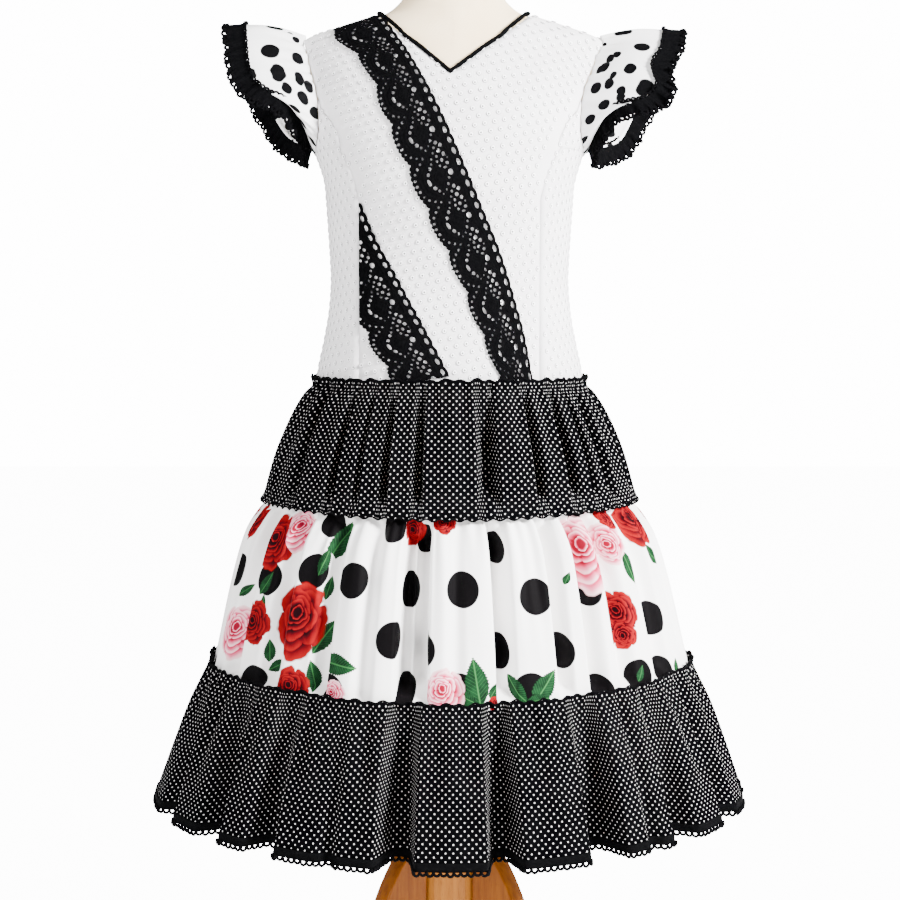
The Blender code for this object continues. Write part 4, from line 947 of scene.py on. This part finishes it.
def buildLace(name, node, lace):
    g = guipure
    length = laceRun(lace)[1][-1]
    straight, scallop = lacePlace(lace, np.linspace(0, 1, 400))
    widest = float(np.linalg.norm(scallop - straight, axis=1).max())
    rows, columns = int(length / g["grid"]), int(widest / g["grid"]) + 1
    share, part = np.meshgrid(np.linspace(0, 1, rows), np.linspace(0, 1, columns), indexing="ij")
    straight, scallop = lacePlace(lace, share)
    across = np.linalg.norm(scallop - straight, axis=-1)
    width = np.maximum(across, 1.0 if lace["scaled"] else widest * 0.98)
    inwards = part * width
    field = laceField(lace, share, inwards, width)
    if lace["cut"] is not None:  # cut off slantwise at the princess seam
        x = straight[..., 0] + unit(scallop - straight)[..., 0] * inwards
        field = np.where(inwards > across + 6, -1.0, np.minimum(field, x - lace["cut"]))
    kept = fourCorners(field) > 0
    # the points near an edge slide onto it, so that holes and scallops come out round
    slopeLong, slopeWide = np.gradient(field)
    slopeLong, slopeWide = slopeLong / (length / (rows - 1)), slopeWide / (width / (columns - 1))
    steep = np.maximum(slopeLong ** 2 + slopeWide ** 2, 0.3)
    used = fourCorners(np.pad(kept.astype(int), 1))
    slide = np.where((used > 0) & (used < 4), np.clip(-field, -0.5, 0.5) / steep, 0.0)
    share = np.clip(share + slide * slopeLong / length, 0, 1)
    inwards = inwards + slide * slopeWide
    straight, scallop = lacePlace(lace, share)
    flat = straight + unit(scallop - straight) * inwards[..., None]
    # the medallions stand a little proud, with cords round them
    drawn = inwards * (g["width"] / width if lace["scaled"] else 1.0)
    place = ((share * lace["eyelets"] / 4 + lace["start"]) % 1.0) * g["repeat"]
    dome = 0.55 * np.exp(-((place - 20.0) / 8.0) ** 2 - ((drawn - 27.0) / 6.5) ** 2)
    cord = 0.25 * np.sin(field * 2.4) * (field > 0)
    points = frontPoint(flat[..., 0], flat[..., 1], g["lift"] + dome + cord)
    points[..., 1] -= bodice["step"]
    numbers, faces = np.unique(gridFaces(rows, columns)[kept.ravel()], return_inverse=True)
    faces = faces.reshape(-1, 4)
    uv = np.stack([share * length, inwards], -1).reshape(-1, 2)[numbers]
    print(name, len(faces), "faces")
    piece = makePiece(name, points.reshape(-1, 3)[numbers], faces, blackLace, "black_lace", uv[faces],
                      node=node)
    return addWall(piece, g["wall"], rimOnly=True)


# skirt: three gathered tiers. outline rows: height, half width, half depth, gather depth,
# fall at the front and back, power of the oval. room: the deepest that a middle fold may be at a
# height. folds: those above, in the middle and below
skirt = {
    "tier_1": {
        "outline": [(719, 138.8, 107.4, 1.8, 0, 2.2), (712, 137.6, 106.2, 2.2, 0, 2.2),
                    (703, 146, 111.5, 4.2, 0, 2.15), (680, 159.5, 120, 4.6, 1, 2.1),
                    (640, 176.5, 136, 3.0, 3, 2.05), (597, 188, 152, 0.3, 5, 2.0)],
        "gathers": 36, "fine": 71, "fineDepth": 1.5, "columns": 900, "seam": 712, "edgeWaves": 88,
        "spread": 1.3, "room": ((597, 608, 625, 640, 660, 680, 700, 712), (0, 1, 24, 30, 24, 15, 7, 0)),
        "folds": ("", "tier_1", ""), "rows": 34, "rolled": (-1, 0),
    },
    "tier_2": {
        "outline": [(607, 180.4, 144.0, 2.0, 5, 2), (595, 184.5, 148.5, 2.2, 5, 2),
                    (587, 192, 156, 3.8, 5, 2), (565, 206, 169, 4.6, 5, 2),
                    (520, 220, 184, 2.6, 6, 2), (432, 240.6, 200.6, 0.3, 8, 2)],
        "gathers": 44, "fine": 92, "fineDepth": 2.4, "columns": 880, "seam": 595, "edgeWaves": 0,
        "spread": 1.3, "room": ((432, 436, 458, 570, 590, 595), (0, 3, 40, 40, 6, 0)),
        "folds": ("", "tier_2", "seam_2"), "rows": 38, "rolled": (),
    },
    "tier_3": {
        "outline": [(439, 246, 206, 1.2, 8, 2), (433, 247, 207, 2.0, 8, 2), (419, 253, 212, 4.6, 7, 2),
                    (392, 265.5, 222, 5.2, 5, 2), (352, 280, 231, 3.0, 4, 2), (305, 296, 238, 0.6, 10.5, 2)],
        "gathers": 52, "fine": 118, "fineDepth": 1.4, "columns": 936, "seam": 433, "edgeWaves": 0,
        "spread": 0.75, "room": ((305, 439), (0, 0)),
        "folds": ("seam_2", "", "hem"), "rows": 36, "rolled": (-1,),
    },
}
# middle and half width in degrees, depth in mm, and the steepness of each side where it isn't 1
tierFolds = {
    "tier_1": [(-55, 2.6, 18), (-38.6, 2.3, 32, 1, 1.2), (-29, 1.8, 10), (-20, 2, 24, 1, 1.2),
               (-9.6, 2.2, 24, 1, 1.8), (11.5, 4, 24, 1.2, 2), (28.5, 2, 15, 1.6, 1), (41, 3, 22, 1, 1.5),
               (50, 2, 14), (59, 3, 20), (78, 4, 18, 1, 1.5), (104, 5, 17, 1.5, 1), (130, 4, 15),
               (152, 3.2, 20, 1, 1.4), (170, 4, 15), (-165, 3.6, 18, 1.5, 1), (-140, 4, 15),
               (-112, 3.6, 20, 1, 1.5), (-88, 3.6, 15), (-72, 2.6, 16)],
    "tier_2": [(-62, 5, 12), (-46, 5, 12), (-31.5, 4.2, 18, 1, 4), (-20, 3.2, 8), (-10.6, 4.6, 30, 6, 1),
               (-7.2, 5, 34, 1, 6), (1.3, 3, 5), (12.0, 4.6, 26, 9, 1), (26.6, 4.6, 24, 9, 1),
               (35.2, 4.4, 20, 9, 1), (45, 4, 13), (60, 6, 12, 1, 1.6), (76, 5, 10), (92, 6, 15, 1, 3),
               (114, 5, 11), (138, 6, 18, 6, 1), (160, 5, 11), (178, 6, 15, 1, 4), (-160, 5, 10),
               (-144, 6, 17, 6, 1), (-124, 5, 11), (-106, 6, 17, 1, 5), (-84, 6, 11)],
    "seam_2": [(-33, 10, 5), (-9, 8, 7), (12, 8, 6), (31, 8, 5), (62, 10, 5), (98, 12, 6), (142, 12, 6),
               (-176, 12, 6), (-134, 12, 6), (-84, 12, 6)],
    "hem": [(-68, 5, 20, 1.3, 1.3), (-50, 3.8, 26, 1.3, 1.8), (-36.4, 4, 28, 1.6, 1.6), (-22, 2.4, 9),
            (-9.7, 3.9, 42, 2.2, 2.2), (9.9, 3.4, 40, 2.2, 2.2), (29.6, 4.2, 40, 2.2, 2.2), (40, 2.4, 9),
            (48.5, 4, 26, 1.5, 1.5), (66, 5, 20, 1.3, 1.3), (85, 5.2, 25, 1.4, 1.4),
            (107, 5.6, 33, 1.8, 1.8), (128, 6, 22, 1.4, 1.4), (150, 5.6, 36, 2, 2), (172, 6, 26, 1.5, 1.5),
            (-165, 5.6, 34, 2, 2), (-143, 6, 24, 1.4, 1.4), (-120, 5.6, 34, 1.9, 1.9),
            (-95, 6, 25, 1.4, 1.4)],
}
tierPuckers = {  # soft creases: angle, height, slant in degrees per 100 mm, length, half angle, depth
    "tier_1": [(-52, 660, 6, 60, 3.0, 1.6), (-28, 690, -4, 40, 2.4, 1.4), (-14, 640, 5, 50, 2.6, 1.2),
               (3, 685, 2, 45, 2.2, 1.5), (24, 650, -8, 55, 2.8, 1.8), (38, 685, -5, 40, 2.4, 1.5),
               (48, 640, -9, 40, 2.6, 1.4), (70, 670, -6, 50, 3, 1.6), (90, 660, 5, 50, 3, 1.4),
               (125, 665, 5, 50, 3, 1.6), (150, 680, -5, 45, 3, 1.5), (-150, 670, 6, 50, 3, 1.6),
               (-128, 650, -5, 45, 3, 1.4), (-90, 670, 5, 50, 3, 1.5), (-70, 680, -4, 45, 2.6, 1.5)],
    "tier_2": [(-20, 540, 2, 60, 2.4, 2.0), (1, 545, -1, 60, 2.2, 1.6), (-39, 540, 3, 50, 2.2, 1.8),
               (22, 520, -2, 70, 2.4, 1.6), (43, 540, -6, 60, 2.6, 2.0), (61, 540, -6, 50, 2.6, 1.8),
               (-60, 530, 5, 55, 2.6, 1.8), (-78, 530, 4, 55, 2.8, 1.8), (78, 520, -4, 60, 2.8, 1.8),
               (110, 530, 4, 60, 3, 2.0), (128, 520, -3, 60, 3, 1.6), (155, 530, 3, 60, 3, 2.0),
               (178, 520, -3, 60, 3, 1.6), (-150, 530, 3, 60, 3, 1.9), (-130, 520, -4, 60, 3, 1.7),
               (-95, 530, 4, 60, 3, 1.8)],
    "tier_3": [(-60, 380, 6, 40, 2.6, 2.2), (-44, 400, 4, 40, 2.2, 2.0), (-28, 370, 3, 50, 2.6, 2.0),
               (-18, 395, -3, 40, 2.0, 2.0), (-3, 390, 2, 40, 2.0, 1.8), (4, 360, -2, 40, 2.0, 1.6),
               (18, 385, -3, 45, 2.2, 2.0), (24, 350, 4, 35, 2.2, 1.6), (40, 385, -6, 50, 2.4, 2.4),
               (56, 390, -6, 45, 2.6, 2.2), (76, 380, -5, 50, 3, 2.2), (96, 385, 4, 50, 3, 2.0),
               (118, 390, 4, 45, 3, 2.2), (139, 385, -4, 50, 3, 2.0), (161, 390, 4, 45, 3, 2.2),
               (-176, 385, -4, 50, 3, 2.0), (-154, 390, 3, 45, 3, 2.2), (-131, 385, -3, 50, 3, 2.0),
               (-107, 390, 4, 45, 3, 2.2), (-82, 385, 4, 50, 3, 2.2)],
}


def foldDepth(folds, angle):
    depth = np.zeros_like(angle)
    for middle, half, deep, left, right in ((*row, 1, 1)[:5] for row in tierFolds.get(folds, ())):
        away = degreesApart(angle, middle)
        steep = np.where(away < 0, left, right)  # a steepness above 3 also shortens that side
        share = np.clip(np.abs(away) / half * np.maximum(steep / 3, 1), 0, 1) ** np.minimum(steep, 3)
        depth = np.maximum(depth, deep * 0.5 * (1 + np.cos(math.pi * share)))
    return depth


def gatherDepth(angle, bunch, count):
    # the depth, phase and number of each gather, no two of which are quite alike
    phase = (angle + math.pi) * count
    number = np.floor(phase / fullTurn)
    share = 0.78 + 0.22 * np.sin(2.4 * number) * np.cos(0.9 * number + 1)
    return bunch * share * 0.5 * (1 - np.cos(phase)), phase, number


def skirtPoint(row, angle, inward):
    # row: height, half width, half depth, fall and power
    height, halfWidth, halfDepth, fall, power = row
    x = signedPower(np.sin(angle), 2 / power)
    y = -signedPower(np.cos(angle), 2 / power)
    normal = unit(grid(signedPower(x, power - 1) / halfWidth, signedPower(y, power - 1) / halfDepth))
    flat = grid(halfWidth * x, halfDepth * y) - normal * inward[..., None]
    return np.concatenate([flat, (height - fall * np.abs(np.cos(angle)) ** 3)[..., None]], -1)


def tierRings(tier, heights):
    # rings of points from the lowest height up
    made = skirt[tier]
    table, seam = made["outline"], made["seam"]
    top, bottom = table[0][0], table[-1][0]
    angle, height = np.meshgrid(turns(made["columns"]) - math.pi, heights)
    halfWidth, halfDepth, bunch, fall, power = readTable(table, height)
    drop = np.clip((top - height) / (top - bottom), 0, 1)
    above, middle, below = (foldDepth(folds, angle) for folds in made["folds"])
    fold = blend(above, below, drop ** made["spread"])
    fold = np.maximum(fold, np.minimum(middle, np.interp(height, *made["room"])))
    gathered, phase, number = gatherDepth(angle, bunch, made["gathers"])
    depth = fold + gathered
    # finer gathers at the seam, which run out a few cm below it
    raised = np.clip((height - seam) / (top - seam), 0, 1)
    fine = made["fine"] * angle + 1.7 * np.sin(5 * angle) + 1.1 * np.sin(11 * angle + 2)
    uneven = 0.7 + 0.3 * np.sin(3 * angle + 1) * np.sin(7 * angle)
    fade = np.exp(-np.clip(seam - height, 0, None) / (18 + 26 * (0.5 + 0.5 * np.sin(number * 1.9)) ** 2))
    depth += made["fineDepth"] * uneven * (1 + np.cos(fine)) * fade * np.where(raised > 0, 0.6, 1)
    for puckerAngle, puckerHeight, slant, length, half, deep in tierPuckers[tier]:
        away = degreesApart(angle, puckerAngle + slant * (height - puckerHeight) / 100) / half
        near = np.exp(-away ** 2 - ((height - puckerHeight) / length) ** 2)
        depth += deep * near * np.tanh(1.4 * away + 0.4)
    points = skirtPoint((height, halfWidth, halfDepth, fall, power), angle, depth)
    points[..., 2] += raised * (0.9 * np.cos(phase) + 1.3 * uneven * np.cos(fine + 0.8))
    if made["edgeWaves"]:  # the rolled lower edge ripples like lettuce
        near = np.exp(-np.clip(height - bottom, 0, None) / 5.0)
        ripple = made["edgeWaves"] * angle + 1.5 * np.sin(6 * angle)
        points[..., 2] += near * 1.2 * np.sin(ripple)
        points[..., :2] += unit(points[..., :2]) * (near * (0.8 + 1.0 * np.cos(ripple)))[..., None]
    return points


def tierUv(points):
    # across: the length round the longest ring below the gathers, from the front. down: the mean way
    run = max((along(ring, closed=True) for ring in points[:len(points) * 3 // 5]), key=lambda way: way[-1])
    steps = np.linalg.norm(np.diff(points, axis=0), axis=2).mean(1)
    down = np.concatenate([[0.0], np.cumsum(steps)])
    return grid(run - run[points.shape[1] // 2], (down - down[-1])[:, None])


def tierHeights(tier):
    # closer rows at the heading and the seam
    made = skirt[tier]
    top, bottom, seam = made["outline"][0][0], made["outline"][-1][0], made["seam"]
    lower = bottom + (seam - bottom) * (1 - (1 - np.linspace(0, 1, made["rows"])) ** 1.35)
    return np.concatenate([lower, np.linspace(seam, top, 7)[1:]])


rolledEdge = {"radius": 0.95, "sides": 6, "uneven": 0.12, "in": 0.5}  # narrow, overlocked in black thread


def buildTier(tier, name, material, slotName):
    points = tierRings(tier, tierHeights(tier))
    piece = clothPiece(name, points, tierUv(points), material, slotName, 1.0, tier, closed=True)
    print(name, points.shape[0] * points.shape[1], "points")
    edges = []
    for ring in (points[row] for row in skirt[tier]["rolled"]):
        radius = rolledEdge["radius"] * (1 + rolledEdge["uneven"] * np.sin(np.arange(len(ring)) * 2.1))
        inner = ring - unit(ring * (1, 1, 0)) * rolledEdge["in"]
        edges.append(tube(inner, radius, rolledEdge["sides"], (0, 0, 1), closed=True))
    if not edges:
        return piece, []
    points, faces = joined(edges)
    uv = points[np.array(faces)][..., [0, 2]] + points[np.array(faces)][..., [1, 1]]
    return piece, [makePiece(name + "RolledEdges", points, faces, blackTrim, slotName, uv)]


# hem trim: a lace band with a row of picot loops below it
hemTrim = {"drop": 11.2, "flare": 3.2, "least": 0.8, "band": 6.6, "lap": 1.6, "rows": 6, "arch": 0.45,
           "wall": 1.3, "pitch": 6.1, "reach": 5.0, "thread": 1.4}


def buildHemTrim():
    h, made = hemTrim, skirt["tier_3"]
    angle = turns(made["columns"]) - math.pi
    height, halfWidth, halfDepth, bunch, fall, power = made["outline"][-1]
    depth = foldDepth("hem", angle) + gatherDepth(angle, bunch, made["gathers"])[0]
    rings = []
    for drop in np.linspace(h["band"], -h["lap"], h["rows"]):  # the band is sewn over the cloth's edge
        flare = max(h["flare"] * drop / h["drop"], h["least"])
        arch = h["arch"] * math.sin(math.pi * (drop + h["lap"]) / (h["band"] + h["lap"]))
        row = [np.full_like(angle, v) for v in (height - drop, halfWidth + flare, halfDepth + flare * 0.5,
                                                fall, power)]
        rings.append(skirtPoint(row, angle, depth - arch))
    points = np.array(rings)
    run = along(points[0], closed=True)
    uv = grid(run, np.linspace(0, h["band"], h["rows"])[:, None])
    band = clothPiece("hemLaceBand", points, uv, blackTrim, "black_trim", h["wall"], "hem_trim", closed=True)
    down = unit(points[0] - points[2])
    loopPoints, faces = picots(points[0] + down * -0.3, down, h["pitch"], h["reach"], h["thread"])
    loops = makePiece("hemPicotLoops", loopPoints, faces, blackTrim, "black_trim",
                      loopPoints[np.array(faces)][..., [0, 2]])
    print("hem", round(run[-1]))
    return band, loops


# flounce sleeves. edge rows: turn round the arm, then x outwards, y and height
armCentre = 985.0
sleeves = {
    "right": [(0, 204, 6, 1064), (35, 199, -34, 1040), (75, 192, -58, 1010), (105, 179, -63, 995),
              (132, 158, -54, 986), (156, 145, -34, 971), (180, 137, 2, 944), (210, 150, 36, 951),
              (238, 167, 58, 964), (275, 183, 72, 988), (318, 200, 52, 1036)],
    "left": [(0, 214, 6, 1057), (30, 207, -30, 1034), (52, 197, -46, 1021), (80, 200, -60, 1001),
             (103, 187, -62, 986), (122, 171, -60, 984), (142, 155, -50, 977), (162, 145, -30, 963),
             (180, 138, 2, 944), (208, 153, 34, 947), (236, 173, 56, 957), (275, 190, 70, 985),
             (318, 208, 50, 1033)],
}
flounce = {"columns": 264, "rows": 26, "gathers": 8, "fine": 27, "bunch": 2.4, "ruffle": 2.6, "ruffles": 3,
           "crown": 5.0, "full": 60.0, "wall": 0.8, "seamOut": 3.6, "lap": 1.6}
sleeveTrim = {"band": 15.2, "reach": 4.9, "gap": 0.8, "run": 3.0, "lift": 6.0, "drop": 72.0, "flare": 0.25,
              "pleats": 34, "pitch": 5.4, "thread": 1.4, "rows": 12, "width": 17, "lap": -2.2, "wall": 1.1,
              "inner": (5.0, 3.4, 1.1)}


def armholePoint(word, turn):
    height = blend(bodice["underarm"], bodice["shoulderTip"], 0.5 * (1 + np.cos(turn)))
    angle = np.where(np.sin(turn) ** 2 < 1e-9, quarter, armholeAngle(height))
    angle = np.where(np.sin(turn) < 0, math.pi - angle, angle)
    points = bodyPoint(angle, height, flounce["seamOut"])  # the seam laps over the bodice's edge
    middle = points.copy()
    middle[..., 1] = readTable(bodyTable, armCentre)[4]
    middle[..., 2] = 0.5 * (bodice["underarm"] + bodice["shoulderTip"])
    points -= unit(middle - points) * flounce["lap"]
    if word == "right":  # the sleeves are made facing one way, and the body leans the other way
        points[..., 0] -= 2 * readTable(bodyTable, height)[2]
    return points


def sleeveEdge(word, turn):
    laps = [(row[0] + 360 * lap, *row[1:]) for lap in (-1, 0, 1) for row in sleeves[word]]
    return np.stack(readTable(laps, np.degrees(turn) % 360), -1)


def sleevePoint(word, turn, share):
    f, share = flounce, np.full_like(turn, share)
    start, end = armholePoint(word, turn), sleeveEdge(word, turn)
    away = unit((start - (0, 0, armCentre)) * (0, 1, 1))
    crown = f["crown"] * np.sin(math.pi * share)
    bunch = f["bunch"] * (1 - share) ** 1.5 * 0.5 * (1 - np.cos(f["gathers"] * turn))
    ruffle = f["ruffle"] * share ** 2 * np.sin(f["ruffles"] * turn + 1.2)
    # small gathers at the armhole, and soft flutes that grow to the edge
    small = 1.5 * (1 - share) ** 2.4 * np.cos(f["fine"] * turn + 1.4 * np.sin(5 * turn))
    flutes = 1.6 * share ** 1.4 * np.cos(9 * turn + 0.9 * np.sin(4 * turn) + (0.4 if word == "left" else 2.0))
    reach = np.minimum(np.linalg.norm(end - start, axis=-1) / f["full"], 1.0)
    offset = (crown + ruffle + flutes) * reach - bunch - small * np.minimum(reach * 1.5, 1)
    return blend(start, end, share[..., None]) + away * offset[..., None]


def trimBand(edge, way, face, turn):
    # the trim laps over the cloth's edge, and its pleats open towards its own edge
    t = sleeveTrim
    pleat = t["pleats"] * turn + 1.3 * np.sin(3 * turn) + 0.8 * np.sin(7 * turn + 1)
    narrow = 1 - 0.24 * np.exp(-((turn - 2.4) / 0.5) ** 2)
    rows = []
    for share in np.linspace(0, 1, t["rows"]):
        reach = blend(t["lap"], t["gap"] + t["band"], share) * narrow + 0.8 * share * np.sin(pleat * 0.5)
        lift = blend(1.5, 0.2, min(share * 3, 1.0)) + 0.4
        wave = (0.35 + 1.25 * share ** 1.2) * np.cos(pleat) * (0.75 + 0.25 * np.sin(5 * turn))
        sway = 1.1 * share * np.sin(2.0 * pleat + 0.6)
        rows.append(edge + way * reach[:, None] + face * (lift + wave)[:, None]
                    + np.cross(way, face) * sway[:, None])
    return np.array(rows)


def buildSleeve(word, side):
    f, t = flounce, sleeveTrim
    turn = turns(f["columns"])
    start, edge = sleevePoint(word, turn, 0), sleevePoint(word, turn, 1)
    run = t["run"] * np.minimum(np.linalg.norm(edge - start, axis=1) / f["full"], 1.0)
    slope = np.radians(blend(t["lift"], t["drop"], 0.5 * (1 - np.cos(turn))))
    way = unit(np.stack([np.cos(slope), -t["flare"] * np.sin(turn), -np.sin(slope)], -1))
    cloth = np.array([*(sleevePoint(word, turn, share) for share in np.linspace(0, 0.93, f["rows"])),
                      edge - way * run[:, None], edge])
    length = along(edge, closed=True)
    down = acrossRows(cloth.swapaxes(0, 1)).T
    uv = grid(length, np.concatenate([down, down[:, :1]], 1))
    outer = np.stack([0 * turn, -np.sin(turn), np.cos(turn)], -1)
    face = unit(np.cross(np.cross(way, outer), way))
    band = trimBand(edge, way, face, turn)
    bandLength = along(band[-1], closed=True)
    bandUv = grid(bandLength, np.linspace(0, t["width"], t["rows"])[:, None])
    down = unit(band[-1] - band[-3])
    loopPoints, loopFaces = joined([
        picots(band[-1] + down * -0.3, down, t["pitch"], t["reach"], t["thread"]),
        picots(band[0] + down * 0.6, -down * 0.92 + face * 0.2, *t["inner"])])
    mirror = np.array([side, 1, 1])
    made = []
    for kind, points, flat, material, slotName, wall in (
            ("sleeve", cloth, uv, sleeveDots[word], "dotted_cotton", f["wall"]),
            ("sleeveTrim", band, bandUv, blackTrim, "black_trim", t["wall"])):
        points = points * mirror
        if side < 0:
            points, flat = np.roll(points[:, ::-1], 1, axis=1), flat[:, ::-1]
        made.append(clothPiece(kind + word.title(), points, flat, material, slotName, wall, closed=True))
    made.append(makePiece("sleevePicots" + word.title(), loopPoints * mirror, loopFaces, blackTrim,
                          "black_trim", loopPoints[np.array(loopFaces)][..., [1, 2]]))
    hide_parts("sleeve_" + word)
    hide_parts("sleeve_trim_" + word)
    print("sleeve", word, round(length[-1]), round(bandLength[-1]))
    return made


# stand: a turned column on three sawn and rounded legs
standLeg = {
    "turns": (-30, 90, 210), "thickness": 24.0, "rounding": 4.5, "segments": 4, "sharp": 40,
    "top": [(32.6, 256), (44, 250), (57, 237), (68, 220), (78, 200), (86, 180), (97, 150), (111, 115),
            (128, 80), (148, 48), (168, 26), (188, 16), (199, 9)],
    "foot": (200, 0),
    "under": [(158, 0), (148, 8), (128, 30), (104, 56), (80, 74), (56, 83), (32.6, 86)],
}


def smoothLine(points, each):
    # a smooth curve through the points, with a few new ones between each pair
    p = np.array(points, float)
    p = np.concatenate([[2 * p[0] - p[1]], p, [2 * p[-1] - p[-2]]])
    made = []
    for i in range(1, len(p) - 2):
        for t in np.arange(each) / each:
            made.append(0.5 * (2 * p[i] + (p[i + 1] - p[i - 1]) * t
                               + (2 * p[i - 1] - 5 * p[i] + 4 * p[i + 1] - p[i + 2]) * t ** 2
                               + (3 * p[i] - p[i - 1] - 3 * p[i + 1] + p[i + 2]) * t ** 3))
    return np.array(made + [p[-2]])


def buildLeg(number, turn):
    s = standLeg
    outline = np.concatenate([smoothLine(s["top"], 4), [s["foot"]], smoothLine(s["under"], 4)])
    count, half = len(outline), s["thickness"] / 2
    out, y, z = np.array([(r, y, z) for y in (-half, half) for r, z in outline]).T
    c, d = math.cos(math.radians(turn)), math.sin(math.radians(turn))
    points = np.stack([out * c - y * d, out * d + y * c, z], -1)
    faces = [list(range(count)), list(range(count, 2 * count))[::-1],
             *gridFaces(2, count, aroundColumns=True, flip=True).tolist()]
    piece = makePiece("standLeg%d" % number, points, faces, sawnBeech, "lacquered_beech",
                      node="stand_leg_%d" % number)
    rounding = piece.modifiers.new("roundedEdges", "BEVEL")
    rounding.width = s["rounding"] * mm
    rounding.segments = s["segments"]
    rounding.limit_method = "ANGLE"
    rounding.angle_limit = math.radians(s["sharp"])


# centre back: a concealed zip shows as a seam with a line of stitches each side
backSeam = {"offset": 5.0, "pitch": 3.2, "stitch": 2.1, "thread": 0.22, "sides": 5, "out": 0.12,
            "from": 712.0, "to": 1052.0}


def buildBackStitches():
    b = backSeam
    parts = []
    for side in (-1, 1):
        for height in np.arange(b["from"], b["to"], b["pitch"]):
            ends = np.linspace(height, height + b["stitch"], 4)
            path = bodyPoint(math.pi - bodyAngle(b["offset"], ends), ends, clothOut + b["out"])
            path = path * np.array([side, 1, 1]) + np.array([0, bodice["step"], 0])
            parts.append(tube(path, b["thread"], b["sides"], (1, 0, 0)))
    return makePiece("backSeamStitches", *joined(parts), embroidery, "white_eyelet_cotton")


# assembly
buildForm()
centreFront, sideRight, sideLeft, backRight, backLeft = buildBodice()
print("bodice made")
rings = [buildEyelets(True, "eyeletsFront"), buildEyelets(False, "eyeletsBack")]
cord = buildPiping()
stitches = buildBackStitches()
laces = [buildLace("guipureLong", "lace_long", longLace), buildLace("guipureShort", "lace_short", shortLace)]
print("laces made")
tier1, edge1 = buildTier("tier_1", "pinDotTierTop", pinDots, "pin_dot_cotton")
tier2, edge2 = buildTier("tier_2", "printedTier", printedSatin, "printed_satin_cotton")
tier3, edge3 = buildTier("tier_3", "pinDotTierLow", pinDots, "pin_dot_cotton")
hemBand, hemLoops = buildHemTrim()
print("skirt made")
sleeveSets = [buildSleeve("right", -1), buildSleeve("left", 1)]
for number, turn in enumerate(standLeg["turns"], start=1):
    buildLeg(number, turn)

# the turned wooden parts and the zip's metal parts kept from model.glb take the beech and nickel finishes
for material, nodes in ((turnedBeech, ("form_neck_cap", "form_pole", "stand_column")),
                        (zipMetal, ("zip_slider", "zip_pull"))):
    for slotPlace in (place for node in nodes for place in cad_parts[node].material_slots):
        slotPlace.material = material

# studio
studio = {"floor": "f7f7f7", "ambient": 0.56, "backdrop": 15.0, "shown": 0.9}
floorMesh = bpy.data.meshes.new("studioFloor")
floorMesh.from_pydata([(-6, -4, 0), (6, -4, 0), (6, 7, 0), (-6, 7, 0)], [], [(0, 1, 2, 3)])
floorObject = bpy.data.objects.new("studioFloor", floorMesh)
bpy.context.scene.collection.objects.link(floorObject)
paper, add, shader = newMaterial("paleStudioFloor", {"Base Color": studio["floor"], "Roughness": 0.9})
seen = add("LightPath").outputs["Is Camera Ray"]  # the camera sees paper and backdrop as one white
bright = add("Emission", {"Strength": studio["backdrop"]})
mixed = add("MixShader", [add("Math MULTIPLY", [seen, studio["shown"]]), shader, bright])
plug(paper.node_tree.nodes["Material Output"], [mixed])
floorMesh.materials.append(paper)
world = bpy.data.worlds.new("softStudio")
world.use_nodes = True
seen = addNode(world.node_tree, "LightPath").outputs["Is Camera Ray"]
strength = addNode(world.node_tree, "Math MULTIPLY_ADD",
                   [seen, studio["backdrop"] - studio["ambient"], studio["ambient"]])
plug(world.node_tree.nodes["Background"], {"Strength": strength, "Color": "ffffff"})
bpy.context.scene.world = world


def addLight(name, place, aim, size, power):
    lamp = bpy.data.lights.new(name, "AREA")
    lamp.shape = "SQUARE"
    lamp.size = size
    lamp.energy = power
    thing = bpy.data.objects.new(name, lamp)
    thing.location = place
    thing.rotation_euler = (Vector(aim) - Vector(place)).to_track_quat("-Z", "Y").to_euler()
    bpy.context.scene.collection.objects.link(thing)


addLight("keySoftbox", (2.1, -1.5, 1.9), (0, 0, 0.65), 0.8, 590)
addLight("fillSoftbox", (-1.9, -1.5, 1.5), (0, 0, 0.6), 1.4, 95)
